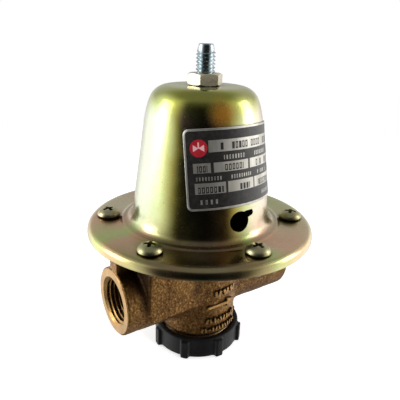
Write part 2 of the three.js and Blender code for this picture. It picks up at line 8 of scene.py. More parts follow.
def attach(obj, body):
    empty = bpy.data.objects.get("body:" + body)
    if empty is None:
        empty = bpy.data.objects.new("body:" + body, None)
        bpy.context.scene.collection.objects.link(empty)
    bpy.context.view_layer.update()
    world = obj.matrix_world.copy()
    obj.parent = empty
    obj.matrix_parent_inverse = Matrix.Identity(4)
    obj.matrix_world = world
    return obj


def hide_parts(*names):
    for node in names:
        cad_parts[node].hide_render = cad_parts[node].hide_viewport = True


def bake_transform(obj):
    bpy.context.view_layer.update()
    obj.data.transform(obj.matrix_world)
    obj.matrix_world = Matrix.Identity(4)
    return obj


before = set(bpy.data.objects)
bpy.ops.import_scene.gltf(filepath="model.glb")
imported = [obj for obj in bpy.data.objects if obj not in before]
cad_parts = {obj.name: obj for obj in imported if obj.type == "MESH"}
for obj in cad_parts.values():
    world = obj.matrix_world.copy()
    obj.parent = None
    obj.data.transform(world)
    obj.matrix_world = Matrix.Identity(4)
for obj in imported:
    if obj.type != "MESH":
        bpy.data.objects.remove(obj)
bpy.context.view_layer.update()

MM = 0.001
TAU = math.tau
scene = bpy.context.scene

# ------------------------------------------------------------------ sizes, in millimetres, as in the CAD model
FLANGE_Z, SHEET = 61.7, 1.8
SCREW_R, SCREW_PHASE = 40.7, 28.7
HEAD_R, HEAD_H, SHANK_R, TIP_Z = 4.95, 3.45, 2.4, 52.2
PORT_Z, IN_X, OUT_X = 31.6, 43.0, 43.2
IN_R, OUT_R = 14.8, 15.15
ROOT_R, CREST_R, PORT_PITCH, PORT_DEPTH = 10.4, 9.3, 1.814, 15.2
ARM_W, ARM_X, ARM_LOW_END, ARM_LOW_NECK, WEB = 16.0, 34.2, 25.5, 26.8, 3.6
NECK_R, NECK_THREAD_R, NECK_END = 17.5, 16.55, 5.3
CAP_R, CAP_H, CAP_FLOOR, CAP_BORE = 20.05, 9.7, 2.6, 17.0
CAP_RIB_R, CAP_RIB_W, CAP_RIB_PHASE = 21.6, 3.8, -3.5
LEAD, MAJOR_R, MINOR_R, ADJ_TOP, ADJ_LOW = 1.411, 3.95, 3.18, 135.2, 95.2
NUT_AF, NUT_Z0, NUT_H, NUT_CORNER = 12.7, FLANGE_Z + 57.6 + 0.12, 4.65, -19.1
VENT_AZ, VENT_Z, VENT_R = -92.5, FLANGE_Z + 8.6, 4.45
LABEL_AZ, LABEL_W, LABEL_H, LABEL_Z = -86.0, 24.1, 15.4, FLANGE_Z + 30.15


# ------------------------------------------------------------------ mesh helpers
def sharpen(me, degrees):
    bm = bmesh.new()
    bm.from_mesh(me)
    limit = math.radians(degrees)
    for f in bm.faces:
        f.smooth = True
    for e in bm.edges:
        e.smooth = len(e.link_faces) == 2 and e.calc_face_angle(0.0) < limit
    bm.to_mesh(me)
    bm.free()


def build(name, verts, faces, mat=None, sharp=35.0):
    me = bpy.data.meshes.new(name)
    v = np.asarray(verts, float).reshape(-1, 3) * MM
    me.from_pydata(v.tolist(), [], [list(map(int, f)) for f in faces])
    me.validate()
    bm = bmesh.new()
    bm.from_mesh(me)
    bmesh.ops.recalc_face_normals(bm, faces=bm.faces[:])
    bm.to_mesh(me)
    bm.free()
    sharpen(me, sharp)
    o = bpy.data.objects.new(name, me)
    scene.collection.objects.link(o)
    if mat:
        me.materials.append(mat)
    return o


def lathe(profile, seg, phase=0.0):
    """Profile [(r, z)] that closes on itself, or starts and ends on the axis."""
    verts, faces, rings = [], [], []
    for r, z in profile:
        if r < 1e-9:
            rings.append([len(verts)])
            verts.append((0, 0, z))
        else:
            rings.append(list(range(len(verts), len(verts) + seg)))
            for i in range(seg):
                a = phase + i / seg * TAU
                verts.append((r * math.cos(a), r * math.sin(a), z))
    axis = profile[0][0] < 1e-9
    n = len(rings)
    for k in range(n - 1 if axis else n):
        A, B = rings[k], rings[(k + 1) % n]
        for i in range(seg):
            j = (i + 1) % seg
            if len(A) == 1 and len(B) == 1:
                continue
            if len(A) == 1:
                faces.append((A[0], B[j], B[i]))
            elif len(B) == 1:
                faces.append((A[i], A[j], B[0]))
            else:
                faces.append((A[i], A[j], B[j], B[i]))
    return np.array(verts, float), faces


def prism(outline, z0, z1):
    n = len(outline)
    verts = [(x, y, z0) for x, y in outline] + [(x, y, z1) for x, y in outline]
    faces = [tuple(range(n))[::-1], tuple(range(n, 2 * n))]
    faces += [(i, (i + 1) % n, n + (i + 1) % n, n + i) for i in range(n)]
    return np.array(verts, float), faces


def turn(v, m):
    return np.asarray(v, float) @ np.array(m, float)[:3, :3].T + np.array(m, float)[:3, 3]


def rot(axis, degrees):
    return Matrix.Rotation(math.radians(degrees), 4, axis)


def move(x, y, z):
    return Matrix.Translation((x, y, z))


def combine(parts):
    verts, faces, base = [], [], 0
    for v, f in parts:
        verts.append(np.asarray(v, float))
        faces += [tuple(i + base for i in q) for q in f]
        base += len(v)
    return np.vstack(verts), faces


def curve_through(points, step=0.5, sharp=()):
    """Centripetal Catmull-Rom through the points; it breaks at each index in sharp."""
    stops = [0] + sorted(sharp) + [len(points) - 1]
    out = []
    for a, b in zip(stops, stops[1:]):
        p = [Vector(q) for q in points[a:b + 1]]
        if len(p) < 2:
            continue
        p = [p[0] * 2 - p[1]] + p + [p[-1] * 2 - p[-2]]
        for i in range(1, len(p) - 2):
            p0, p1, p2, p3 = p[i - 1:i + 3]
            t0 = 0.0
            t1 = t0 + max((p1 - p0).length, 1e-6) ** 0.5
            t2 = t1 + max((p2 - p1).length, 1e-6) ** 0.5
            t3 = t2 + max((p3 - p2).length, 1e-6) ** 0.5
            n = max(1, int(math.ceil((p2 - p1).length / step)))
            for k in range(n):
                t = t1 + (t2 - t1) * k / n
                a1 = p0 * ((t1 - t) / (t1 - t0)) + p1 * ((t - t0) / (t1 - t0))
                a2 = p1 * ((t2 - t) / (t2 - t1)) + p2 * ((t - t1) / (t2 - t1))
                a3 = p2 * ((t3 - t) / (t3 - t2)) + p3 * ((t - t2) / (t3 - t2))
                b1 = a1 * ((t2 - t) / (t2 - t0)) + a2 * ((t - t0) / (t2 - t0))
                b2 = a2 * ((t3 - t) / (t3 - t1)) + a3 * ((t - t1) / (t3 - t1))
                c = b1 * ((t2 - t) / (t2 - t1)) + b2 * ((t - t1) / (t2 - t1))
                out.append((c.x, c.y))
    out.append(tuple(points[-1]))
    return out


def rounded(points, radius, steps=4, closed=True):
    """Polygon or line with its corners rounded; radius is one number or one a corner."""
    n = len(points)
    out = []
    for i in range(n):
        r = radius[i] if isinstance(radius, (list, tuple)) else radius
        p = Vector(points[i])
        if (not closed and i in (0, n - 1)) or r <= 0:
            out.append(tuple(p))
            continue
        a, b = Vector(points[i - 1]), Vector(points[(i + 1) % n])
        u, w = (a - p), (b - p)
        c = max(-1.0, min(1.0, u.normalized().dot(w.normalized())))
        half = math.acos(c) / 2
        if half > math.pi / 2 - 0.02:
            out.append(tuple(p))
            continue
        d = min(r / math.tan(half), u.length * 0.48, w.length * 0.48)
        s, e = p + u.normalized() * d, p + w.normalized() * d
        for k in range(steps + 1):
            t = k / steps
            q = s * (1 - t) ** 2 + p * 2 * t * (1 - t) + e * t * t
            out.append(tuple(q))
    return out


def boolean(o, tools, operation="DIFFERENCE"):
    """Cuts or joins with separate tool solids, one at a time."""
    for v, f in tools:
        t = build("tool", v, f)
        m = o.modifiers.new("b", "BOOLEAN")
        m.operation, m.object = operation, t
        try:
            m.solver = "MANIFOLD"
        except TypeError:
            m.solver = "EXACT"
        dg = bpy.context.evaluated_depsgraph_get()
        dg.update()
        me = bpy.data.meshes.new_from_object(o.evaluated_get(dg))
        o.modifiers.clear()
        old = o.data
        o.data = me
        me.name = old.name
        bpy.data.meshes.remove(old)
        tm = t.data
        bpy.data.objects.remove(t)
        bpy.data.meshes.remove(tm)
    return o


def finish_mesh(o, sharp, mat):
    bm = bmesh.new()
    bm.from_mesh(o.data)
    bmesh.ops.remove_doubles(bm, verts=bm.verts[:], dist=2e-6)
    bmesh.ops.dissolve_degenerate(bm, edges=bm.edges[:], dist=1e-6)
    bm.to_mesh(o.data)
    bm.free()
    sharpen(o.data, sharp)
    o.data.materials.clear()
    o.data.materials.append(mat)
    return o


def surface_nets(f, origin, h):
    """Closed quad mesh of the zero surface of a field that is negative inside."""
    s = f < 0
    nx, ny, nz = f.shape
    corners = [(a, b, c) for a in (0, 1) for b in (0, 1) for c in (0, 1)]
    count = np.zeros((nx - 1, ny - 1, nz - 1), np.int8)
    for a, b, c in corners:
        count += s[a:nx - 1 + a, b:ny - 1 + b, c:nz - 1 + c]
    active = (count > 0) & (count < 8)
    cells = np.argwhere(active)
    index = np.full(active.shape, -1, np.int64)
    index[active] = np.arange(len(cells))
    total = np.zeros((len(cells), 3))
    num = np.zeros(len(cells))
    for p in corners:
        for axis in range(3):
            if p[axis]:
                continue
            q = list(p)
            q[axis] = 1
            fa = f[cells[:, 0] + p[0], cells[:, 1] + p[1], cells[:, 2] + p[2]].astype(float)
            fb = f[cells[:, 0] + q[0], cells[:, 1] + q[1], cells[:, 2] + q[2]].astype(float)
            m = (fa < 0) != (fb < 0)
            t = np.where(m, fa / np.where(m, fa - fb, 1.0), 0.0)
            pos = np.tile(np.array(p, float), (len(cells), 1))
            pos[:, axis] += t
            total[m] += pos[m]
            num[m] += 1
    verts = np.array(origin) + h * (cells + total / num[:, None])
    quads = []
    for axis in range(3):
        u, w = (axis + 1) % 3, (axis + 2) % 3
        lo = [slice(1, None)] * 3
        lo[axis] = slice(0, -1)
        hi = [slice(1, None)] * 3
        hi[axis] = slice(1, None)
        # edges that run along axis and have four cells around them
        end = [slice(None)] * 3
        for k in (u, w):
            end[k] = slice(0, f.shape[k] - 2)
        s0, s1 = s[tuple(lo)][tuple(end)], s[tuple(hi)][tuple(end)]
        e = np.argwhere(s0 != s1)
        inside = s0[e[:, 0], e[:, 1], e[:, 2]]
        base = e.copy()
        base[:, u] += 1
        base[:, w] += 1
        def cell(du, dw):
            c = base.copy()
            c[:, u] -= du
            c[:, w] -= dw
            return index[c[:, 0], c[:, 1], c[:, 2]]
        q = np.stack([cell(0, 0), cell(1, 0), cell(1, 1), cell(0, 1)], 1)
        q[~inside] = q[~inside][:, ::-1]
        quads.append(q)
    return verts, np.vstack(quads)


def polygon_distance(poly, x, y):
    """Signed distance to a closed polygon, negative inside."""
    p = np.array(poly, float)
    d = np.full(x.shape, 1e9)
    inside = np.zeros(x.shape, bool)
    for (ax, ay), (bx, by) in zip(p, np.roll(p, -1, 0)):
        ex, ey = bx - ax, by - ay
        wx, wy = x - ax, y - ay
        t = np.clip((wx * ex + wy * ey) / (ex * ex + ey * ey + 1e-12), 0, 1)
        d = np.minimum(d, (wx - ex * t) ** 2 + (wy - ey * t) ** 2)
        cross = (ay <= y) != (by <= y)
        with np.errstate(divide="ignore", invalid="ignore"):
            xi = ax + (y - ay) / (by - ay if by != ay else 1e-12) * ex
        inside ^= cross & (x < xi)
    d = np.sqrt(d)
    return np.where(inside, -d, d)


def smin(a, b, k):
    h = np.clip(0.5 + 0.5 * (b - a) / k, 0, 1)
    return b * (1 - h) + a * h - k * h * (1 - h)


def smax(a, b, k):
    return -smin(-a, -b, k)


class Grid:
    def __init__(self, lo, hi, h):
        self.h = h
        self.lo = lo
        n = [int(math.ceil((b - a) / h)) + 1 for a, b in zip(lo, hi)]
        ax = [np.asarray(a + h * np.arange(m), np.float32) for a, m in zip(lo, n)]
        self.z = ax[2]
        self.X, self.Y, self.Z = np.meshgrid(*ax, indexing="ij", sparse=True)
        self.R = np.sqrt(self.X ** 2 + self.Y ** 2)[:, :, 0]
        self.shape = tuple(n)

    def turned(self, poly):
        """A polygon in (r, z) revolved about the vertical axis. The polygon may start and end on r = 0."""
        poly = [(-r if False else r, z) for r, z in poly]
        mirrored = poly + [(-r, z) for r, z in reversed(poly)] if poly[0][0] == 0 else poly
        r = np.arange(0, float(self.R.max()) + self.h, self.h * 0.5)
        rr, zz = np.meshgrid(r, self.z, indexing="ij")
        table = polygon_distance(mirrored, rr, zz)
        out = np.empty(self.shape, np.float32)
        for k in range(len(self.z)):
            out[:, :, k] = np.interp(self.R, r, table[:, k])
        return out

    def cylinder_x(self, r, x0, x1, z, soft=0.0):
        q = np.sqrt(self.Y ** 2 + (self.Z - z) ** 2) - r
        e = np.abs(self.X - (x0 + x1) / 2) - abs(x1 - x0) / 2
        return smax(q, e, soft) if soft else np.maximum(q, e)

    def rod(self, r, x, y, z0, z1):
        q = np.sqrt((self.X - x) ** 2 + (self.Y - y) ** 2) - r
        e = np.abs(self.Z - (z0 + z1) / 2) - (z1 - z0) / 2
        return np.maximum(q, e)

    def bar(self, r, a, b):
        a, b = np.array(a, float), np.array(b, float)
        d = (b - a) / np.linalg.norm(b - a)
        t = (self.X - a[0]) * d[0] + (self.Y - a[1]) * d[1] + (self.Z - a[2]) * d[2]
        sq = (self.X - a[0]) ** 2 + (self.Y - a[1]) ** 2 + (self.Z - a[2]) ** 2 - t * t
        q = np.sqrt(np.maximum(sq, 0)) - r
        return np.maximum(q, np.maximum(-t, t - np.linalg.norm(b - a)))


# ------------------------------------------------------------------ node graph helper
class Graph:
    def __init__(self, name):
        self.mat = bpy.data.materials.new(name)
        self.mat.use_nodes = True
        self.nt = self.mat.node_tree
        self.nt.nodes.clear()
        out = self.nt.nodes.new("ShaderNodeOutputMaterial")
        self.bsdf = self.nt.nodes.new("ShaderNodeBsdfPrincipled")
        self.nt.links.new(self.bsdf.outputs[0], out.inputs[0])
        self.coord = self.nt.nodes.new("ShaderNodeTexCoord").outputs["Object"]

    def put(self, socket, value):
        if isinstance(value, bpy.types.NodeSocket):
            self.nt.links.new(value, socket)
        elif isinstance(value, (tuple, list)) and len(value) == 3 and len(socket.default_value) == 4:
            socket.default_value = (*value, 1.0)
        else:
            socket.default_value = value

    def node(self, kind, props=None, **inputs):
        n = self.nt.nodes.new("ShaderNode" + kind)
        for k, v in (props or {}).items():
            setattr(n, k, v)
        for k, v in inputs.items():
            self.put(n.inputs[k], v)
        return n

    def math(self, op, a, b=None, c=None, clamp=False):
        n = self.nt.nodes.new("ShaderNodeMath")
        n.operation, n.use_clamp = op, clamp
        for i, v in enumerate((a, b, c)):
            if v is not None:
                self.put(n.inputs[i], v)
        return n.outputs[0]

    def mul(self, a, b):
        return self.math("MULTIPLY", a, b)

    def add(self, a, b):
        return self.math("ADD", a, b)

    def mix(self, fac, a, b, blend="MIX"):
        n = self.nt.nodes.new("ShaderNodeMix")
        n.data_type, n.blend_type = "RGBA", blend
        n.clamp_factor = True
        self.put(n.inputs[0], fac)
        self.put(n.inputs[6], a)
        self.put(n.inputs[7], b)
        return n.outputs[2]

    def range(self, v, a, b, c=0.0, d=1.0, smooth=True):
        n = self.nt.nodes.new("ShaderNodeMapRange")
        n.interpolation_type = "SMOOTHSTEP" if smooth else "LINEAR"
        self.put(n.inputs[0], v)
        for i, x in enumerate((a, b, c, d)):
            n.inputs[i + 1].default_value = x
        return n.outputs[0]

    def ramp(self, fac, stops):
        n = self.nt.nodes.new("ShaderNodeValToRGB")
        self.put(n.inputs[0], fac)
        el = n.color_ramp.elements
        while len(el) < len(stops):
            el.new(0.5)
        for e, (at, colour) in zip(el, stops):
            e.position = at
        for e, (at, colour) in zip(el, stops):
            e.color = (*colour, 1.0)
        return n.outputs[0]

    # ambient occlusion mask; the materials mix a dark colour by it, which paints shade into recesses
    def painted_occlusion_shade(self, distance, samples=8):
        n = self.nt.nodes.new("ShaderNodeAmbientOcclusion")
        n.samples = samples
        n.inputs["Distance"].default_value = distance
        return n.outputs["AO"]

    def noise(self, scale, detail=2.0, rough=0.5, vec=None, dist=0.0, stretch=None):
        v = vec or self.coord
        if stretch:
            m = self.node("Mapping")
            self.put(m.inputs["Vector"], v)
            m.inputs["Scale"].default_value = stretch
            v = m.outputs[0]
        n = self.node("TexNoise")
        self.put(n.inputs["Vector"], v)
        n.inputs["Scale"].default_value = scale
        n.inputs["Detail"].default_value = detail
        n.inputs["Roughness"].default_value = rough
        n.inputs["Distortion"].default_value = dist
        return n.outputs["Fac"]

    def voronoi(self, scale, feature="F1"):
        n = self.node("TexVoronoi")
        n.feature = feature
        self.put(n.inputs["Vector"], self.coord)
        n.inputs["Scale"].default_value = scale
        return n.outputs["Distance"]

    def bump(self, height, strength, distance, normal=None):
        n = self.node("Bump")
        n.inputs["Strength"].default_value = strength
        n.inputs["Distance"].default_value = distance
        self.put(n.inputs["Height"], height)
        if normal is not None:
            self.put(n.inputs["Normal"], normal)
        return n.outputs[0]

    def xyz(self, v=None):
        n = self.node("SeparateXYZ")
        self.put(n.inputs[0], v or self.coord)
        return n.outputs[0], n.outputs[1], n.outputs[2]

    def done(self, color, rough, metal=0.0, normal=None, **more):
        self.put(self.bsdf.inputs["Base Color"], color)
        self.put(self.bsdf.inputs["Roughness"], rough)
        self.put(self.bsdf.inputs["Metallic"], metal)
        if normal is not None:
            self.put(self.bsdf.inputs["Normal"], normal)
        for k, v in more.items():
            self.bsdf.inputs[k.replace("_", " ")].default_value = v
        return self.mat


# ------------------------------------------------------------------ materials
def chromate(name, dull=0.0, seed=0.0):
    """Yellow chromate over zinc: olive and straw with faint green and pink tints, satin gloss."""
    g = Graph(name)
    shifted = g.node("Mapping")
    g.put(shifted.inputs["Vector"], g.coord)
    shifted.inputs["Location"].default_value = (seed, seed * 0.7, seed * 1.3)
    v = shifted.outputs[0]
    big = g.noise(26, 1.5, 0.5, v, 0.6, (1, 1, 0.55))
    mid = g.noise(55, 2.0, 0.55, v, 0.8, (1, 1, 0.6))
    fine = g.noise(420, 3.0, 0.6, v)
    straw, green, pink, cream = (0.47, 0.42, 0.20), (0.38, 0.42, 0.21), (0.55, 0.39, 0.28), (0.62, 0.58, 0.40)
    c = g.mix(g.range(big, 0.40, 0.60), straw, cream)
    c = g.mix(g.range(mid, 0.52, 0.66, 0, 0.75), c, pink)
    c = g.mix(g.range(mid, 0.46, 0.34, 0, 0.80), c, green)
    c = g.mix(g.range(fine, 0.35, 0.65, 0, 0.22), c, (0.45, 0.40, 0.18))
    if dull:
        c = g.mix(dull, c, (0.42, 0.38, 0.24))
    spots = g.range(g.noise(900, 1.0, 0.5, v), 0.70, 0.78)
    c = g.mix(g.mul(spots, 0.35), c, (0.20, 0.17, 0.08))
    rough = g.add(g.range(g.noise(140, 3.0, 0.6, v), 0.3, 0.7, 0.23 + 0.12 * dull, 0.34 + 0.12 * dull), g.mul(spots, 0.15))
    n = g.bump(g.noise(60, 2.0, 0.5, v), 0.12, 0.0012)
    n = g.bump(g.noise(1500, 2.0, 0.6, v), 0.05, 0.00012, n)
    # painted shade: darker in recesses such as the cross recess, by occlusion
    c = g.mix(g.range(g.painted_occlusion_shade(0.0032), 0.88, 0.45, 0, 0.88), c, (0.045, 0.035, 0.016))
    return g.done(c, rough, 1.0, n)


def bonnet_material():
    g = Graph("yellow_chromate_bell")
    v = g.coord
    x, y, z = g.xyz()
    big = g.noise(20, 1.5, 0.5, v, 0.7, (1, 1, 0.5))
    mid = g.noise(42, 2.0, 0.55, v, 0.8, (1, 1, 0.40))
    fine = g.noise(420, 3.0, 0.6, v)
    straw, green, pink, cream = (0.50, 0.44, 0.17), (0.33, 0.42, 0.10), (0.60, 0.32, 0.21), (0.64, 0.62, 0.38)
    # the tint runs in upright streaks by the angle round the bell from the camera side, on one ramp for the bell and
    # one for the flange: the green and pink film tints are real, while the cream where the bright bands fall and the
    # dark olive-brown at the front are painted reflection
    c0, s0 = math.cos(math.radians(FRONT)), math.sin(math.radians(FRONT))
    along = g.add(g.mul(x, c0), g.mul(y, s0))
    across = g.add(g.mul(x, -s0), g.mul(y, c0))
    turn_by = g.math("ARCTAN2", across, along)
    radius = g.math("SQRT", g.add(g.mul(x, x), g.mul(y, y)))
    wobble = g.mul(g.add(mid, -0.5), 0.55)
    place = g.add(g.mul(g.add(turn_by, wobble), 1 / TAU), 0.5)

    def stops(table):
        return [((a + 180) / 360, c) for a, c in table]

    # painted reflection: both ramps are light where the softboxes reflect and dark at the front
    side = g.ramp(place, stops(((-180, (0.52, 0.46, 0.19)), (-130, (0.50, 0.50, 0.22)), (-98, (0.68, 0.50, 0.40)), (-70, (0.66, 0.68, 0.58)), (-47, (0.50, 0.66, 0.44)),
                                (-33, (0.43, 0.49, 0.20)), (-21, (0.34, 0.30, 0.040)), (-10, (0.18, 0.165, 0.11)), (5, (0.22, 0.165, 0.09)), (14, (0.50, 0.27, 0.07)),
                                (24, (0.50, 0.41, 0.05)), (34, (0.52, 0.55, 0.22)), (50, (0.66, 0.65, 0.50)), (80, (0.70, 0.52, 0.40)), (110, (0.48, 0.52, 0.22)), (180, (0.52, 0.46, 0.19)))))
    plate = g.ramp(place, stops(((-180, (0.52, 0.46, 0.19)), (-135, (0.60, 0.40, 0.26)), (-104, (0.60, 0.52, 0.32)), (-78, (0.66, 0.37, 0.22)), (-58, (0.40, 0.52, 0.13)),
                                 (-44, (0.56, 0.31, 0.17)), (-30, (0.30, 0.28, 0.09)), (-15, (0.20, 0.125, 0.06)), (0, (0.15, 0.09, 0.05)), (16, (0.22, 0.115, 0.05)),
                                 (27, (0.34, 0.24, 0.07)), (37, (0.42, 0.54, 0.13)), (52, (0.68, 0.37, 0.22)), (74, (0.64, 0.45, 0.26)), (120, (0.44, 0.48, 0.18)), (180, (0.52, 0.46, 0.19)))))
    c = g.mix(g.range(radius, 0.0275, 0.0330), side, plate)
    c = g.mix(g.range(radius, 0.0455, 0.0480, 0, 0.34), c, (0.56, 0.50, 0.22))
    c = g.mix(g.range(big, 0.40, 0.62, 0, 0.22), c, cream)
    c = g.mix(g.range(mid, 0.60, 0.72, 0, 0.30), c, pink)
    c = g.mix(g.range(mid, 0.40, 0.28, 0, 0.30), c, green)
    c = g.mix(g.range(fine, 0.35, 0.65, 0, 0.12), c, (0.34, 0.29, 0.10))
    # the shoulder of the bell is tinted olive, and one amber run lies on the front of it
    shoulder = g.range(z, 0.1075, 0.1160)
    c = g.mix(g.mul(shoulder, 0.80), c, (0.43, 0.45, 0.060))
    # painted shade: darker in recesses such as the step ring at the base of the bell, by occlusion
    c = g.mix(g.range(g.painted_occlusion_shade(0.011), 0.90, 0.50, 0, 0.84), c, (0.070, 0.045, 0.017))
    d = g.node("VectorMath", {"operation": "DISTANCE"})
    g.put(d.inputs[0], v)
    d.inputs[1].default_value = AMBER
    amber = g.range(g.add(d.outputs["Value"], g.mul(g.add(mid, -0.5), 0.006)), 0.0075, 0.0012)
    c = g.mix(g.mul(amber, 0.85), c, (0.52, 0.205, 0.018))
    spots = g.range(g.noise(760, 1.0, 0.5, v), 0.715, 0.78)
    c = g.mix(g.mul(spots, 0.45), c, (0.16, 0.14, 0.06))
    rough = g.add(g.range(g.noise(140, 3.0, 0.6, v), 0.3, 0.7, 0.20, 0.28), g.mul(spots, 0.15))
    n = g.bump(g.noise(55, 2.0, 0.5, v), 0.10, 0.0012)
    n = g.bump(g.noise(1500, 2.0, 0.6, v), 0.045, 0.00012, n)
    return g.done(c, rough, g.add(1.0, g.mul(amber, -0.34)), n, Coat_Weight=0.40, Coat_Roughness=0.16, Coat_IOR=1.8)


def bronze_material(wear_and_highlight=False):
    """Sand cast bronze: brown grains with bright worn tops; painted shade in bands by the hub and neck and in recesses,
    and a brighter copy for the raised marks as painted highlight.
    """
    g = Graph("cast_bronze_marks" if wear_and_highlight else "cast_bronze")
    big = g.noise(45, 3.0, 0.55)
    grain = g.noise(1050, 3.0, 0.62)
    pit = g.voronoi(1250)
    c = g.mix(g.range(big, 0.35, 0.65), (0.185, 0.085, 0.022), (0.275, 0.138, 0.038))
    c = g.mix(g.range(grain, 0.54, 0.68, 0, 0.80), c, (0.50, 0.295, 0.095))
    c = g.mix(g.range(grain, 0.46, 0.35, 0, 0.80), c, (0.060, 0.027, 0.008))
    # painted shade: dark bands placed by position on the hub beside the arm end, over the hub under the flange, and
    # beside the neck under the flange
    x, y, z = g.xyz()
    ax = g.math("ABSOLUTE", x)
    under = g.range(z, 0.0560, 0.0530)
    drift = g.mul(g.add(big, -0.5), 0.006)
    painted_shade_arm_end = g.mul(g.range(g.math("ABSOLUTE", g.add(g.add(ax, drift), -0.0356)), 0.0028, 0.0006, 0, 0.80), g.range(z, 0.028, 0.036))
    painted_shade_over_hub = g.mul(g.range(z, 0.0455, 0.0530), g.range(ax, 0.0330, 0.0350, 0, 0.80))
    off_face = g.range(ax, 0.0405, 0.0418, 1.0, 0.0)
    painted_shade_by_neck = g.mul(g.range(g.math("ABSOLUTE", g.add(g.add(ax, drift), -0.0112)), 0.0032, 0.0006, 0, 0.62), g.mul(g.mul(under, g.range(z, 0.028, 0.036)), g.range(g.math("ABSOLUTE", y), 0.012, 0.016)))
    c = g.mix(g.math("MAXIMUM", g.mul(g.math("MAXIMUM", painted_shade_arm_end, painted_shade_over_hub), off_face), painted_shade_by_neck), c, (0.030, 0.013, 0.005))
    # painted highlight: the raised marks are a brighter copy of the bronze, standing in for their lit tops
    if wear_and_highlight:
        c = g.mix(0.55, c, (0.56, 0.34, 0.12))
    # painted shade: darker in fillets and recesses and round the feet of the raised marks, by occlusion
    c = g.mix(g.range(g.painted_occlusion_shade(0.016), 0.84, 0.44, 0, 0.92), c, (0.026, 0.012, 0.004))
    c = g.mix(g.range(g.painted_occlusion_shade(0.0022), 0.86, 0.50, 0, 0.85), c, (0.022, 0.010, 0.004))
    rough = g.range(grain, 0.35, 0.68, 0.56, 0.36)
    h = g.add(g.mul(grain, 1.0), g.mul(pit, 0.5))
    n = g.bump(g.noise(260, 3.0, 0.6), 0.30, 0.0006)
    n = g.bump(h, 0.50, 0.00042, n)
    return g.done(c, rough, 0.80, n)


def machined_material(name, base, axis, centre, pitch=0.00023):
    """Turned metal: fine rings about an axis, with the tool's marks."""
    g = Graph(name)
    x, y, z = g.xyz()
    a, b = ((y, z), (x, z), (x, y))[axis]
    da, db = g.add(a, -centre[0]), g.add(b, -centre[1])
    r = g.math("SQRT", g.add(g.mul(da, da), g.mul(db, db)))
    rings = g.math("SINE", g.mul(r, TAU / pitch))
    wob = g.noise(500, 3.0, 0.6)
    c = g.mix(g.range(g.noise(120, 3.0, 0.6), 0.35, 0.68), base, tuple(min(1, q * 1.22) for q in base))
    c = g.mix(g.range(wob, 0.62, 0.75, 0, 0.5), c, tuple(q * 0.45 for q in base))
    # painted shade: darker inside the threads and recesses, by occlusion
    c = g.mix(g.range(g.painted_occlusion_shade(0.012), 0.72, 0.25, 0, 0.93), c, tuple(q * 0.07 for q in base))
    n = g.bump(g.add(g.mul(rings, 0.5), wob), 0.16, 0.00008)
    return g.done(c, g.range(wob, 0.3, 0.7, 0.24, 0.40), 0.95, n)


def plain_metal(name, base, dark, rough=(0.2, 0.34), scale=160, streak=None, grime=0.0):
    g = Graph(name)
    fine = g.noise(900, 3.0, 0.6)
    c = g.mix(g.range(g.noise(scale, 3.0, 0.6, stretch=streak), 0.35, 0.66), dark, base)
    if grime:
        c = g.mix(g.range(fine, 0.58, 0.72, 0, grime), c, tuple(q * 0.25 for q in base))
    n = g.bump(fine, 0.07, 0.0001)
    return g.done(c, g.range(g.noise(300, 2.0, 0.6), 0.3, 0.7, *rough), 1.0, n)


def plastic_material():
    g = Graph("black_moulded")
    grain = g.noise(2300, 2.0, 0.55)
    cloud = g.noise(110, 3.0, 0.6)
    c = g.mix(g.range(cloud, 0.35, 0.7), (0.0035, 0.0035, 0.004), (0.008, 0.008, 0.0085))
    c = g.mix(g.range(g.noise(700, 2.0, 0.7), 0.68, 0.80, 0, 0.5), c, (0.06, 0.055, 0.05))
    n = g.bump(grain, 0.30, 0.0002)
    return g.done(c, g.range(cloud, 0.3, 0.7, 0.42, 0.56), 0.0, n, Specular_IOR_Level=0.32)


def rubber_material(name, tint=(0.018, 0.018, 0.019), weave=False):
    g = Graph(name)
    x, y, z = g.xyz()
    if weave:
        h = g.mul(g.math("SINE", g.mul(x, TAU / 0.0011)), g.math("SINE", g.mul(y, TAU / 0.0011)))
    else:
        h = g.noise(1600, 2.0, 0.6)
    c = g.mix(g.range(g.noise(130, 3.0, 0.6), 0.35, 0.68), tint, tuple(q * 2.0 for q in tint))
    return g.done(c, g.range(g.noise(400, 2.0, 0.6), 0.3, 0.7, 0.62, 0.85), 0.0, g.bump(h, 0.25, 0.0002))


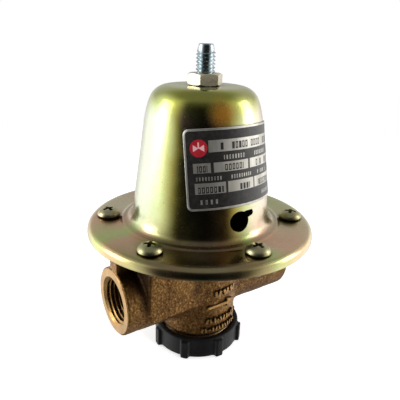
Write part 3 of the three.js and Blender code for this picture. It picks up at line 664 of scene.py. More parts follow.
def label_material():
    """Foil plate: black ground with bare metal border and boxes, and generic bar marks where writing would be."""
    g = Graph("printed_foil")
    uv = g.node("UVMap")
    uv.uv_map = "label_mm"
    u, w, _ = g.xyz(uv.outputs[0])
    X = g.mul(g.add(u, -0.5), 100.0)
    Y = g.mul(g.add(w, -0.5), 100.0)

    def rect(x0, x1, y0, y1):
        a = g.math("COMPARE", X, (x0 + x1) / 2, (x1 - x0) / 2)
        b = g.math("COMPARE", Y, (y0 + y1) / 2, (y1 - y0) / 2)
        return g.mul(a, b)

    def marks(x0, x1, y0, y1, pitch, duty, seed):
        """A row of upright bars of mixed height and width, with gaps, like greeked text."""
        cellx = g.math("DIVIDE", X, pitch)
        idx = g.math("FLOOR", cellx)
        fr = g.math("FRACT", cellx)
        wn = g.node("TexWhiteNoise", {"noise_dimensions": "1D"})
        g.put(wn.inputs["W"], g.add(idx, seed))
        rnd = wn.outputs["Value"]
        solid = g.math("LESS_THAN", fr, duty)
        hole = g.mul(g.math("COMPARE", fr, duty / 2, duty * 0.17),
                     g.math("COMPARE", Y, (y0 + y1) / 2, (y1 - y0) * 0.30))
        holed = g.mul(hole, g.math("GREATER_THAN", rnd, 0.45))
        on = g.math("GREATER_THAN", rnd, 0.10)
        m = g.mul(g.mul(rect(x0, x1, y0, y1), solid), on)
        return g.mul(m, g.math("SUBTRACT", 1.0, holed))

    def any_of(items):
        out = items[0]
        for i in items[1:]:
            out = g.math("MAXIMUM", out, i)
        return out

    # rounded border
    qx = g.add(g.math("ABSOLUTE", X), -(LABEL_W - 2.0))
    qy = g.add(g.math("ABSOLUTE", Y), -(LABEL_H - 2.0))
    px, py = g.math("MAXIMUM", qx, 0.0), g.math("MAXIMUM", qy, 0.0)
    edge = g.add(g.math("SQRT", g.add(g.mul(px, px), g.mul(py, py))), g.math("MINIMUM", g.math("MAXIMUM", qx, qy), 0.0))
    border = g.math("GREATER_THAN", edge, 2.0 - 0.85)
    boxes = any_of([rect(-15.0, 21.6, 6.6, 11.0), rect(-21.0, -14.5, -1.0, 2.7), rect(-13.4, 1.2, -1.0, 2.7),
                    rect(2.1, 21.6, -1.0, 2.7), rect(-20.8, -9.1, -9.0, -4.8), rect(-8.2, 3.95, -9.0, -4.8), rect(4.6, 21.6, -9.0, -4.8)])
    dark = any_of([marks(-10.6, 9.0, 7.3, 9.9, 1.50, 0.74, 3.0), marks(11.5, 19.5, 7.3, 9.9, 1.50, 0.74, 41.0),
                   marks(-19.6, -15.8, -0.7, 1.7, 1.34, 0.74, 7.0), marks(-10.6, -1.2, -0.6, 1.8, 1.52, 0.72, 11.0),
                   marks(5.0, 10.2, -0.6, 1.8, 1.44, 0.72, 15.0), marks(13.0, 19.0, -0.6, 1.8, 1.44, 0.72, 18.0),
                   marks(-19.6, -10.0, -8.7, -6.3, 1.52, 0.72, 19.0), marks(-4.6, 1.9, -8.7, -6.3, 1.52, 0.72, 23.0),
                   marks(6.9, 17.9, -8.7, -6.3, 1.50, 0.72, 29.0)])
    light = any_of([marks(-9.4, -0.4, 3.6, 5.2, 1.20, 0.46, 31.0), marks(5.0, 14.0, 3.6, 5.2, 1.20, 0.46, 37.0),
                    marks(-20.2, -10.4, -3.9, -2.5, 1.12, 0.46, 43.0), marks(-7.2, 2.6, -3.9, -2.5, 1.12, 0.46, 47.0),
                    marks(6.4, 14.0, -3.9, -2.5, 1.12, 0.46, 53.0), marks(-19.4, -11.4, -13.0, -11.2, 1.9, 0.40, 59.0),
                    marks(8.5, 19.5, -12.8, -11.4, 1.1, 0.46, 61.0)])
    dx, dy = g.add(X, 18.6), g.add(Y, -8.3)
    dist = g.math("SQRT", g.add(g.mul(dx, dx), g.mul(dy, dy)))
    disc = g.math("LESS_THAN", dist, 3.25)
    ax, ay = g.math("ABSOLUTE", dx), g.math("ABSOLUTE", dy)
    bow = g.mul(g.math("LESS_THAN", ay, g.mul(ax, 0.62)), g.math("LESS_THAN", ax, 2.05))
    bow = g.math("MAXIMUM", bow, g.mul(g.math("LESS_THAN", ax, 0.28), g.math("COMPARE", dy, 1.1, 1.1)))

    foil = g.math("MAXIMUM", border, boxes)
    foil = g.mul(foil, g.math("SUBTRACT", 1.0, dark))
    foil = g.math("MAXIMUM", foil, light)
    wear_and_highlight = g.noise(700, 3.0, 0.65)
    silver = g.mix(g.range(g.noise(160, 3.0, 0.6, stretch=(1, 1, 0.2)), 0.35, 0.66), (0.46, 0.44, 0.39), (0.66, 0.64, 0.58))
    ink = g.mix(g.range(wear_and_highlight, 0.35, 0.7), (0.010, 0.009, 0.009), (0.026, 0.023, 0.021))
    c = g.mix(foil, ink, silver)
    c = g.mix(disc, c, g.mix(g.range(wear_and_highlight, 0.4, 0.75), (0.36, 0.008, 0.020), (0.24, 0.007, 0.015)))
    c = g.mix(g.mul(disc, bow), c, (0.62, 0.36, 0.36))
    metal = g.mul(foil, 0.85)
    rough = g.range(foil, 0.0, 1.0, 0.36, 0.42, smooth=False)
    n = g.bump(g.noise(1400, 2.0, 0.6), 0.05, 0.0001)
    n = g.bump(foil, 0.25, 0.00004, n)
    return g.done(c, rough, metal, n)


def polar(az, r, z):
    a = math.radians(az)
    return (r * math.cos(a) * MM, r * math.sin(a) * MM, z * MM)


AMBER = polar(-108.0, 22.8, 111.4)
FRONT = -124.5
BELL = bonnet_material()
BRONZE = bronze_material()
BRONZE_MARKS_LIT = bronze_material(True)
TURNED_IN = machined_material("turned_bronze_ports", (0.40, 0.235, 0.080), 0, (0.0, PORT_Z * MM))
TURNED_Z = machined_material("turned_bronze_neck", (0.62, 0.42, 0.20), 2, (0.0, 0.0))
SCREW = chromate("chromate_screws", 0.35, 3.1)
PLATE = chromate("chromate_plate", 0.25, 7.7)
ZINC = plain_metal("bright_zinc", (0.60, 0.67, 0.69), (0.40, 0.47, 0.50), (0.16, 0.30), 190, (1, 1, 0.5), 0.25)
ZINC_NUT = plain_metal("zinc_nut", (0.72, 0.66, 0.50), (0.56, 0.49, 0.34), (0.18, 0.30), 120, None, 0.2)
for part in ZINC_NUT.node_tree.nodes:
    if part.type == "BSDF_PRINCIPLED":
        part.inputs["Metallic"].default_value = 0.60
STEEL = plain_metal("stainless_plain", (0.66, 0.66, 0.66), (0.48, 0.48, 0.48), (0.22, 0.36))
SPRING = plain_metal("oiled_spring", (0.26, 0.265, 0.275), (0.14, 0.145, 0.15), (0.25, 0.42), 200, None, 0.4)
BRASS = machined_material("turned_brass", (0.72, 0.53, 0.23), 2, (0.0, 0.0), 0.0003)
BLACK = plastic_material()
RUBBER = rubber_material("diaphragm_cloth", weave=True)
SEAL = rubber_material("seal_rubber")
FOIL = label_material()

# ------------------------------------------------------------------ bonnet
outer = curve_through([
    (5.2, 57.6), (14.6, 57.6), (17.2, 57.2), (19.4, 56.1), (21.2, 54.4), (22.4, 52.2), (23.3, 49.6), (24.4, 45.0), (26.5, 29.6),
    (28.6, 14.2), (29.3, 8.4), (29.9, 4.6), (30.8, 2.3), (32.2, 0.9), (33.3, 0.6), (34.3, 0.6), (35.3, 0.0), (46.4, 0.0),
    (48.0, -0.45), (49.1, -1.5), (49.5, -2.9), (49.5, -4.15), (49.0, -4.5)], 0.8)
inner = curve_through([
    (48.0, -4.5), (47.7, -4.2), (47.7, -2.9), (47.0, -1.8), (35.1, -1.8), (34.0, -1.2), (32.3, -0.95), (30.2, 0.0), (28.7, 2.6),
    (27.9, 5.4), (26.8, 14.2), (22.6, 45.0), (21.3, 49.8), (19.6, 53.2), (17.0, 55.3), (14.2, 55.8), (5.2, 55.8)], 1.2)
bonnet = build("bonnet_shell", *lathe([(r, z + FLANGE_Z) for r, z in outer + inner], 180), BELL, 60)
hole = [(VENT_R * math.cos(TAU * i / 56), VENT_R * 0.93 * math.sin(TAU * i / 56)) for i in range(56)]
beak = rounded([(0, 0), (4.2, 1.0), (6.7, 1.55), (7.25, 2.5), (6.6, 3.85), (3.4, 3.9), (0, 3.4)], [0, 0, 0.5, 0.9, 0.9, 0, 0], 5)
aim = move(0, 0, VENT_Z) @ rot("Z", VENT_AZ + 90) @ rot("X", 90)
tools = [(turn(v, aim), f) for v, f in (prism(hole, 20, 36), prism(beak, 20, 36))]
for i in range(6):
    a = math.radians(SCREW_PHASE + 60 * i)
    v, f = lathe([(0, -4), (2.8, -4), (2.8, 4), (0, 4)], 32)
    tools.append((v + np.array([SCREW_R * math.cos(a), SCREW_R * math.sin(a), FLANGE_Z]), f))
boolean(bonnet, tools)
finish_mesh(bonnet, 38, BELL)
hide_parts("bonnet")
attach(bonnet, "valve_body")

# ------------------------------------------------------------------ body casting, from distance fields so that its arms run into the neck in fillets
G = Grid((-44.6, -48.4, 4.2), (44.8, 48.4, 59.6), 0.55)
bowl = G.turned([(r, z + FLANGE_Z) for r, z in [(0, -12.0), (31.0, -12.0), (34.5, -9.6), (44.4, -6.9), (46.6, -6.0), (46.6, -3.8), (0, -3.8)]]) + 0.15
neck = G.turned([(0, NECK_END + 0.1), (15.2, NECK_END + 0.1), (15.2, 10.2), (NECK_R - 0.4, 10.2), (NECK_R, 10.8), (NECK_R, 60), (0, 60)])
neck = np.maximum(neck, G.Z - 52.0)
hub_in = G.cylinder_x(IN_R, -IN_X + 0.03, -5, PORT_Z, 0.7)
hub_out = G.cylinder_x(OUT_R, 5, OUT_X - 0.03, PORT_Z, 0.7)


def arm(sign, low_end, low_neck):
    side = np.abs(G.Y) - ARM_W
    end = sign * G.X - ARM_X
    tilt = (low_neck - low_end) / (ARM_X - 7.0)
    low = (low_neck - (sign * G.X - 7.0) * tilt) - G.Z
    d = smax(smax(side, end, 1.1), low, 1.0)
    return smax(smax(d, -sign * G.X - 2.0, 0.3), G.Z - 52.0, 0.3)


arm_in = arm(-1, ARM_LOW_END, ARM_LOW_NECK)
arm_out = smax(arm(1, ARM_LOW_END, ARM_LOW_NECK), PORT_Z - G.Z, 0.8)


def web(sign, face):
    d = smax(np.abs(G.Y) - WEB, sign * G.X - face, 1.2)
    return np.maximum(np.maximum(d, 24 - sign * G.X), np.maximum(40 - G.Z, G.Z - 54.3))


webs = np.minimum(web(-1, IN_X - 0.3), web(1, OUT_X - 0.3))
body = smin(neck, bowl, 3.0)
body = smin(body, np.minimum(arm_in, arm_out), 2.6)
body = smin(body, np.minimum(hub_in, hub_out), 1.5)
body = smin(body, webs, 1.8)
# the flat rim and everything else stays inside the CAD outline
body = np.maximum(body, G.R[:, :, None] - 46.55)
for face, s in ((IN_X - 0.03, -1), (OUT_X - 0.03, 1)):
    body = smax(body, s * G.X - face, 0.5)
dish = G.turned([(r, z + FLANGE_Z) for r, z in [(0, -9.2), (31.4, -9.2), (33.5, -3.8), (33.5, 3), (0, 3)]])
body = smax(body, -dish, 0.6)
for cutter in (
    G.rod(13.0, 0, 0, -4, 38.7), G.rod(9.15, 0, 0, 37.7, 43.3), G.rod(10.0, 0, 0, 42.3, 54),
    G.cylinder_x(4.8, -30, -20, PORT_Z), G.cylinder_x(7.0, -25, -6, PORT_Z), G.bar(5.5, (8.2, 0, 53.5), (28.8, 0, 36.4)),
    G.cylinder_x(11.05, -46, -IN_X + PORT_DEPTH, PORT_Z), G.cylinder_x(11.05, OUT_X - PORT_DEPTH, 46, PORT_Z),
):
    body = np.maximum(body, -cutter)
for i in range(6):
    a = math.radians(SCREW_PHASE + 60 * i)
    body = np.maximum(body, -G.rod(2.7, SCREW_R * math.cos(a), SCREW_R * math.sin(a), 50, 60))
for deg in (75, 180, 285):
    a = math.radians(deg)
    body = smin(body, G.rod(2.2, 15 * math.cos(a), 15 * math.sin(a), 51.5, 56.1), 0.8)
v, f = surface_nets(body, G.lo, G.h)
casting = build("body_casting_sand", v, f, BRONZE, 50)
me = casting.data
co = np.empty(len(me.vertices) * 3, np.float32)
no = np.empty(len(me.vertices) * 3, np.float32)
me.vertices.foreach_get("co", co)
me.vertices.foreach_get("normal", no)
co, no = co.reshape(-1, 3), no.reshape(-1, 3)
lump = np.array([noise.noise(Vector(p) * 220.0) * 0.6 + noise.noise(Vector(p) * 620.0) * 0.4 for p in co.tolist()])
inside = np.minimum(1, np.maximum(0, (np.hypot(co[:, 0], co[:, 1]) * 1000 - 14.5) / 2))
co = co + no * ((lump - 0.25) * 0.00022 * inside)[:, None].astype(np.float32)
me.vertices.foreach_set("co", co.ravel())
me.update()
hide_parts("body_casting")
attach(casting, "valve_body")


def threaded_port(name, x_face, sign):
    """Tapered pipe thread with a machined face ring, standing in the port. Depth runs inward from the face."""
    seg, step = 120, 0.13
    rows = []
    depth = [i * step for i in range(int(12.6 / step) + 1)]
    ring = [(14.0, 0.0), (12.4, 0.0), (ROOT_R + 0.42, 0.0)]
    back = [(CREST_R - 0.4, 12.9), (CREST_R - 0.45, 15.1), (11.2, 15.1), (11.2, 0.7), (14.0, 0.7), (14.25, 0.45), (14.25, 0.2)]
    for k in range(seg):
        a = TAU * k / seg
        line = list(ring)
        for d in depth[1:]:
            ph = (d / PORT_PITCH - sign * k / seg) % 1.0
            tri = 1 - abs(2 * ph - 1)                     # 0 root, 1 crest
            tri = min(max((tri - 0.10) / 0.78, 0.0), 1.0)
            r = ROOT_R - d / 32 - (ROOT_R - CREST_R) * tri
            r = max(r, ROOT_R + 0.42 - d * 1.1)
            if d > 11.0:
                r = min(r, ROOT_R - d / 32) if d < 11.4 else r + (CREST_R - 0.4 - r) * min(1, (d - 11.4) / 1.2)
            line.append((r, d))
        line += back
        rows.append([(x_face + sign * d, r * math.cos(a), PORT_Z + r * math.sin(a)) for r, d in line])
    m = len(rows[0])
    verts = [p for row in rows for p in row]
    faces = [(k * m + i, k * m + (i + 1) % m, ((k + 1) % seg) * m + (i + 1) % m, ((k + 1) % seg) * m + i) for k in range(seg) for i in range(m)]
    o = build(name, verts, faces, TURNED_IN, 30)
    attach(o, "valve_body")
    return o


threaded_port("inlet_thread", -IN_X, 1)
threaded_port("outlet_thread", OUT_X, -1)


def thread_rows(z0, z1, step, seg, radius, lead, head, tail, centre=(0, 0)):
    """Grid solid turned about Z whose outline between head and tail is a helical thread: radius(phase, z) in mm."""
    zs = [z0 + i * (z1 - z0) / max(1, round((z1 - z0) / step)) for i in range(max(1, round((z1 - z0) / step)) + 1)]
    verts, m = [], None
    for k in range(seg):
        a = TAU * k / seg
        line = list(head) + [(radius(((z / lead) - k / seg) % 1.0, z), z) for z in zs] + list(tail)
        m = len(line)
        verts += [(centre[0] + r * math.cos(a), centre[1] + r * math.sin(a), z) for r, z in line]
    return verts, m


def closed_rows(verts, m, seg):
    return [(k * m + i, k * m + (i + 1) % m, ((k + 1) % seg) * m + (i + 1) % m, ((k + 1) % seg) * m + i) for k in range(seg) for i in range(m)]


def tri_wave(ph, flat=0.12):
    t = 1 - abs(2 * ph - 1)
    return min(max((t - flat) / (1 - 2 * flat), 0.0), 1.0)


# external thread on the neck, under the cap
verts, m = thread_rows(5.75, 9.6, 0.16, 120, lambda ph, z: 15.75 + (NECK_THREAD_R - 15.75) * tri_wave(ph, 0.15) * min(1, max(0, (9.6 - z) / 0.5), max(0, (z - 5.7) / 0.6)), 2.0,
                       [(14.6, 5.32), (15.5, 5.32)], [(15.75, 9.8), (15.75, 10.6), (14.6, 10.6)])
neck_thread = build("neck_thread", verts, closed_rows(verts, m, 120), TURNED_Z, 30)
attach(neck_thread, "valve_body")

# raised cast marks: arrow and rows of plain bars
marks = []


def on_neck(s, z, lift):
    a = math.radians(-86) + s / NECK_R
    return ((NECK_R + lift) * math.cos(a), (NECK_R + lift) * math.sin(a), z)


def raised(outline, height, z_mid, s_mid=0.0, lean=0.0, draft=0.28):
    """Closed pad on the neck with drafted sides."""
    c, s_ = math.cos(lean), math.sin(lean)
    pts = rounded([(x * c - y * s_, x * s_ + y * c) for x, y in outline], 0.35, 3)
    cx, cy = sum(p[0] for p in pts) / len(pts), sum(p[1] for p in pts) / len(pts)
    area = sum(a[0] * b[1] - b[0] * a[1] for a, b in zip(pts, pts[1:] + pts[:1])) / 2
    if area < 0:
        pts = pts[::-1]
    n = len(pts)
    def inset(d):
        out = []
        for i in range(n):
            p, a, b = Vector(pts[i]), Vector(pts[i - 1]), Vector(pts[(i + 1) % n])
            t = (b - a).normalized()
            out.append(p + Vector((-t.y, t.x)) * d)
        return out
    layers = [(0.0, -0.9), (0.0, 0.12), (draft * 0.45, height * 0.72), (draft * 0.9, height)]
    verts, faces = [], []
    for d, h in layers:
        verts += [on_neck(s_mid + p.x, z_mid + p.y, h) for p in inset(d)]
    for k in range(len(layers) - 1):
        faces += [(k * n + i, k * n + (i + 1) % n, (k + 1) * n + (i + 1) % n, (k + 1) * n + i) for i in range(n)]
    faces += [tuple(range(n))[::-1], tuple(range((len(layers) - 1) * n, len(layers) * n))]
    return verts, faces


marks.append(raised([(-7.2, -0.85), (2.4, -0.85), (2.4, -2.4), (7.4, 0), (2.4, 2.4), (2.4, 0.85), (-7.2, 0.85)], 1.15, 25.4, 0.0, math.radians(4)))
bars = []
for x, h, lean in ((-3.4, 3.2, 0.12), (-1.7, 3.2, -0.35), (0.9, 3.2, 0.35), (2.4, 3.2, -0.15), (5.0, 3.2, 0.30), (6.6, 3.2, -0.30)):
    bars.append((x, 31.6 + 0.05 * x, h, lean, 0.74))
for x, h, lean in ((-7.4, 2.6, -0.32), (-5.9, 2.6, 0.3), (-3.9, 2.6, 0.1), (-2.4, 1.0, 0.0), (-0.9, 2.6, 0.28), (0.7, 2.6, -0.2), (2.5, 2.6, 0.05), (4.1, 1.2, 0.3), (5.6, 2.6, -0.15), (7.1, 2.6, 0.25)):
    bars.append((x + 0.4, 18.3 + 0.04 * x, h, lean, 0.52))
for x, h, lean in ((-9.4, 2.3, -0.2), (-7.9, 2.3, 0.3), (-6.0, 1.0, 0.0), (-4.5, 2.3, 0.1), (-3.0, 2.3, -0.3), (-1.4, 2.3, 0.2), (0.3, 2.3, -0.1), (1.9, 2.3, 0.3), (3.5, 2.3, 0.0), (5.0, 2.3, -0.25), (6.6, 2.3, 0.15), (8.2, 2.3, 0.3)):
    bars.append((x + 0.3, 13.6 + 0.02 * x, h, lean, 0.50))
for s_mid, z_mid, h, lean, half_w in bars:
    marks.append(raised([(-half_w, -h / 2), (half_w, -h / 2), (half_w, h / 2), (-half_w, h / 2)], 1.05, z_mid, s_mid, lean, 0.2))
cast_marks = build("cast_marks", *combine(marks), BRONZE_MARKS_LIT, 40)
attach(cast_marks, "valve_body")

# ------------------------------------------------------------------ flange screws
z = FLANGE_Z + 0.1
head = curve_through([(HEAD_R - 0.35, z), (HEAD_R, z + 0.5), (HEAD_R - 0.02, z + 1.05), (HEAD_R - 0.75, z + 2.15), (HEAD_R - 2.2, z + 3.05), (1.2, z + HEAD_H - 0.05), (0, z + HEAD_H)], 0.25)
shank = [(0, TIP_Z), (SHANK_R - 0.55, TIP_Z), (SHANK_R, TIP_Z + 0.7)]
turns = [(SHANK_R - (0.0 if i % 2 else 0.42), TIP_Z + 0.9 + 0.32 * i) for i in range(int((z - TIP_Z - 1.6) / 0.32))]
screw_profile = shank + turns + [(SHANK_R, z - 0.4), (SHANK_R, z)] + head
arm_out = rounded([(-2.80, -0.76), (2.80, -0.76), (2.80, 0.76), (-2.80, 0.76)], 0.30, 3)


def cross_tool(angle):
    top = [(x, y, z + 5.0) for x, y in arm_out]
    mid = [(x, y, z + HEAD_H) for x, y in arm_out]
    low = [(x * 0.55, y * 0.62, z + HEAD_H - 1.9) for x, y in arm_out]
    n = len(arm_out)
    verts = low + mid + top
    faces = [tuple(range(n))[::-1], tuple(range(2 * n, 3 * n))]
    for k in (0, 1):
        faces += [(k * n + i, k * n + (i + 1) % n, (k + 1) * n + (i + 1) % n, (k + 1) * n + i) for i in range(n)]
    return turn(verts, rot("Z", angle)), faces


for i in range(6):
    a = SCREW_PHASE + 60 * i
    m4 = move(SCREW_R * math.cos(math.radians(a)), SCREW_R * math.sin(math.radians(a)), 0) @ rot("Z", 17 + 41 * i)
    v, f = lathe(screw_profile, 56)
    o = build("pan_screw_%d" % (i + 1), v, f, SCREW, 40)
    boolean(o, [cross_tool(0), cross_tool(90)])
    o.data.transform(Matrix.Translation(m4.translation * MM) @ m4.to_3x3().to_4x4())
    finish_mesh(o, 32, SCREW)
    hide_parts("flange_screw_%d" % (i + 1))
    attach(o, "valve_body")

# ------------------------------------------------------------------ adjusting screw and lock nut
env = [(ADJ_LOW, 2.4), (ADJ_LOW + 1.2, 3.1), (ADJ_LOW + 2.6, 3.1), (ADJ_LOW + 3.6, 4.0), (ADJ_TOP - 3.5, 4.0), (ADJ_TOP - 2.6, 3.5), (ADJ_TOP - 0.7, 3.12), (ADJ_TOP - 0.25, 2.95), (ADJ_TOP, 2.6)]
ez, er = np.array([e[0] for e in env]), np.array([e[1] for e in env])


def screw_radius(ph, z):
    t = tri_wave(ph, 0.10)
    r = MINOR_R + (MAJOR_R - MINOR_R) * t
    lim = float(np.interp(z, ez, er))
    if z > ADJ_TOP - 2.2 or z < ADJ_LOW + 2.4:
        return lim
    return min(r, lim)


verts, m = thread_rows(ADJ_LOW, ADJ_TOP, 0.115, 64, screw_radius, LEAD, [], [])
faces = [(k * m + i, k * m + i + 1, ((k + 1) % 64) * m + i + 1, ((k + 1) % 64) * m + i) for k in range(64) for i in range(m - 1)]
faces += [tuple(k * m for k in range(64))[::-1], tuple(k * m + m - 1 for k in range(64))]
adj = build("adjusting_screw_cut", verts, faces, ZINC, 32)
v, f = prism([(-5, -0.55), (5, -0.55), (5, 0.55), (-5, 0.55)], ADJ_TOP - 1.3, ADJ_TOP + 1)
boolean(adj, [(turn(v, rot("Z", -34.5)), f)])
finish_mesh(adj, 32, ZINC)
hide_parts("adjusting_screw")
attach(adj, "screw")

ac = NUT_AF / math.sqrt(3)
hexagon = rounded([(ac * math.cos(math.radians(NUT_CORNER + 60 * i)), ac * math.sin(math.radians(NUT_CORNER + 60 * i))) for i in range(6)], 0.25, 3)
nut = build("lock_nut_hex", *prism(hexagon, NUT_Z0, NUT_Z0 + NUT_H), ZINC_NUT, 30)
c = ac - NUT_AF / 2 + 0.12
lens = lathe([(0, NUT_Z0), (NUT_AF / 2 - 0.15, NUT_Z0), (ac + 0.2, NUT_Z0 + c * 0.62), (ac + 0.2, NUT_Z0 + NUT_H - c * 0.62), (NUT_AF / 2 - 0.15, NUT_Z0 + NUT_H), (0, NUT_Z0 + NUT_H)], 96)
boolean(nut, [lens], "INTERSECT")
boolean(nut, [lathe([(0, NUT_Z0 - 1), (4.75, NUT_Z0 - 0.4), (4.3, NUT_Z0 + 0.5), (4.3, NUT_Z0 + NUT_H - 0.5), (4.75, NUT_Z0 + NUT_H + 0.1), (4.75, NUT_Z0 + NUT_H + 1), (0, NUT_Z0 + NUT_H + 1)], 64)])
finish_mesh(nut, 25, ZINC_NUT)
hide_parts("lock_nut")
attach(nut, "nut")

# ------------------------------------------------------------------ bottom cap
K = Grid((-22.6, -22.6, -0.9), (22.6, 22.6, 10.6), 0.36)
shell = K.turned([(0, 0.8), (13.2, 0.8), (13.6, 0.0), (CAP_R - 1.1, 0.0), (CAP_R - 0.3, 0.35), (CAP_R, 1.1), (CAP_R, CAP_H - 0.6), (CAP_R - 0.6, CAP_H), (CAP_BORE + 0.8, CAP_H), (CAP_BORE, CAP_H - 0.9),
                  (CAP_BORE, CAP_FLOOR), (0, CAP_FLOOR)])
ribs = None
for i in range(8):
    a = math.radians(CAP_RIB_PHASE + 45 * i)
    u = K.X * math.cos(a) + K.Y * math.sin(a)
    w = -K.X * math.sin(a) + K.Y * math.cos(a)
    d = smax(smax(np.abs(w) - CAP_RIB_W / 2, u - CAP_RIB_R, 0.8), 18.4 - u, 0.1)
    d = smax(d, np.abs(K.Z - 4.475) - 4.325, 0.6)
    ribs = d if ribs is None else np.minimum(ribs, d)
v, f = surface_nets(smin(shell, ribs, 0.7), K.lo, K.h)
cap = build("cap_moulding", v, f, BLACK, 44)
ring_v, ring_m = thread_rows(3.9, 8.6, 0.2, 120, lambda ph, z: 17.05 - 0.36 * tri_wave(ph, 0.2) * min(1, max(0, (8.6 - z) / 0.5), max(0, (z - 3.9) / 0.5)), 2.0, [(17.3, 3.8)], [(17.3, 8.7)])
cap_thread = build("cap_thread", ring_v, closed_rows(ring_v, ring_m, 120), BLACK, 35)
for o in (cap, cap_thread):
    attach(o, "cap")
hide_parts("bottom_cap")

# ------------------------------------------------------------------ nameplate
taper = 0.1364
half = math.atan(taper)
sn, cs = math.sin(half), math.cos(half)
apex = FLANGE_Z + 14.2 + 28.6 / taper
mid_slant = (apex - LABEL_Z) / cs


def on_bell(X, Y, lift):
    q = mid_slant - Y
    s, th = math.hypot(X, q), math.atan2(X, q)
    az, r, zz = math.radians(LABEL_AZ) + th / sn, 0, 0
    r = s * sn + lift * cs
    zz = apex - s * cs + lift * sn
    return (r * math.cos(az), r * math.sin(az), zz)


corner = 2.0
xs = [-LABEL_W + corner * (1 - math.cos(math.pi / 2 * i / 8)) for i in range(8)]
xs += list(np.linspace(-LABEL_W + corner, LABEL_W - corner, 60))
xs += [-q for q in xs[:8]][::-1]
rows = 16


def limit(X):
    d = abs(X) - (LABEL_W - corner)
    return LABEL_H if d <= 0 else LABEL_H - corner + math.sqrt(max(corner * corner - d * d, 0))


verts, flat = [], []
for lift in (0.16, 0.42, 0.51):
    for X in xs:
        for j in range(rows + 1):
            k = 1.0 if lift < 0.5 else 0.994
            Y = (j / rows * 2 - 1) * limit(X)
            verts.append(on_bell(X * k, Y * k, lift))
            flat.append((X * k, Y * k))
nx, ny = len(xs), rows + 1
def vid(layer, i, j):
    return layer * nx * ny + i * ny + j
faces = []
for i in range(nx - 1):
    for j in range(ny - 1):
        faces.append((vid(2, i, j), vid(2, i + 1, j), vid(2, i + 1, j + 1), vid(2, i, j + 1)))
        faces.append((vid(0, i, j), vid(0, i, j + 1), vid(0, i + 1, j + 1), vid(0, i + 1, j)))
loop = [(i, 0) for i in range(nx)] + [(nx - 1, j) for j in range(1, ny)] + [(i, ny - 1) for i in range(nx - 2, -1, -1)] + [(0, j) for j in range(ny - 2, 0, -1)]
for layer in (0, 1):
    for p, q in zip(loop, loop[1:] + loop[:1]):
        faces.append((vid(layer, *p), vid(layer, *q), vid(layer + 1, *q), vid(layer + 1, *p)))
used = sorted({i for q in faces for i in q})
remap = {a: b for b, a in enumerate(used)}
plate = build("nameplate_foil", [verts[i] for i in used], [tuple(remap[i] for i in q) for q in faces], FOIL, 40)
uv = plate.data.uv_layers.new(name="label_mm")
flat_used = [flat[i] for i in used]
for lp in plate.data.loops:
    X, Y = flat_used[lp.vertex_index]
    uv.data[lp.index].uv = (X / 100 + 0.5, Y / 100 + 0.5)
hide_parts("nameplate")
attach(plate, "valve_body")


# ------------------------------------------------------------------ springs and diaphragm
def wire(mean_r, wire_r, centre, u0, u1, per_turn, ring, phase):
    steps = max(2, round((u1 - u0) * per_turn))
    verts, faces = [], []
    for i in range(steps + 1):
        u = u0 + (u1 - u0) * i / steps
        def at(t):
            a = phase + t * TAU
            return Vector((mean_r * math.cos(a), mean_r * math.sin(a), centre(t)))
        p, t = at(u), (at(u + 0.002) - at(u - 0.002)).normalized()
        out = Vector((p.x, p.y, 0)).normalized()
        side = t.cross(out).normalized()
        rim = side.cross(t).normalized()
        for k in range(ring):
            a = TAU * k / ring
            verts.append(tuple(p + rim * (wire_r * math.cos(a)) + side * (wire_r * math.sin(a))))
    for i in range(steps):
        faces += [(i * ring + k, i * ring + (k + 1) % ring, (i + 1) * ring + (k + 1) % ring, (i + 1) * ring + k) for k in range(ring)]
    faces += [tuple(range(ring))[::-1], tuple(range(steps * ring, steps * ring + ring))]
    return verts, faces


Z0, Z1, TURNS = 63.25, 89.75, 5.5


def range_z(u):
    closed, rise = 0.95, 3.75
    if u < closed:
        return Z0 + u * rise
    if u > TURNS - closed:
        return Z1 - (TURNS - u) * rise
    return Z0 + closed * rise + (u - closed) / (TURNS - 2 * closed) * (Z1 - Z0 - 2 * closed * rise)


for name, u0, u1, other, z_end in (("range_spring_lower", 0, TURNS / 2, "trim", 61.5), ("range_spring_upper", TURNS / 2, TURNS, "button", 91.5)):
    v, f = wire(14.5, 1.75, range_z, u0, u1, 48, 18, 0.6)
    o = build(name, v, f, SPRING, 50)
    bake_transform(o)
    if other == "button":
        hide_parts("range_spring")

v, f = wire(3.0, 0.35, lambda u: -22.3 + u / 4 * 5.5, 0, 4, 36, 12, 0.0)
v = turn(v, move(0, 0, PORT_Z) @ rot("Y", 90))
o = build("check_spring_wire", v, f, STEEL, 50)
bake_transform(o)
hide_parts("check_spring")

top = curve_through([(2.75, -2.05), (24.0, -2.05), (25.3, -2.5), (26.6, -3.6), (28.8, -4.1), (31.0, -3.6), (32.3, -2.5), (33.6, -2.05), (45.4, -2.05)], 0.7)
low = curve_through([(45.4, -3.65), (33.6, -3.65), (32.3, -4.1), (31.0, -5.1), (28.8, -5.55), (26.6, -5.1), (25.3, -4.1), (24.0, -3.65), (2.75, -3.65)], 0.7)
dia = build("diaphragm_sheet", *lathe([(r, q + FLANGE_Z) for r, q in top + low], 144), RUBBER, 40)
holes = []
for i in range(6):
    a = math.radians(SCREW_PHASE + 60 * i)
    v, f = lathe([(0, 55), (2.8, 55), (2.8, 62), (0, 62)], 24)
    holes.append((v + np.array([SCREW_R * math.cos(a), SCREW_R * math.sin(a), 0]), f))
boolean(dia, holes)
finish_mesh(dia, 40, RUBBER)
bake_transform(dia)
co = np.array([p.co for p in dia.data.vertices], float)
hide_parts("diaphragm")

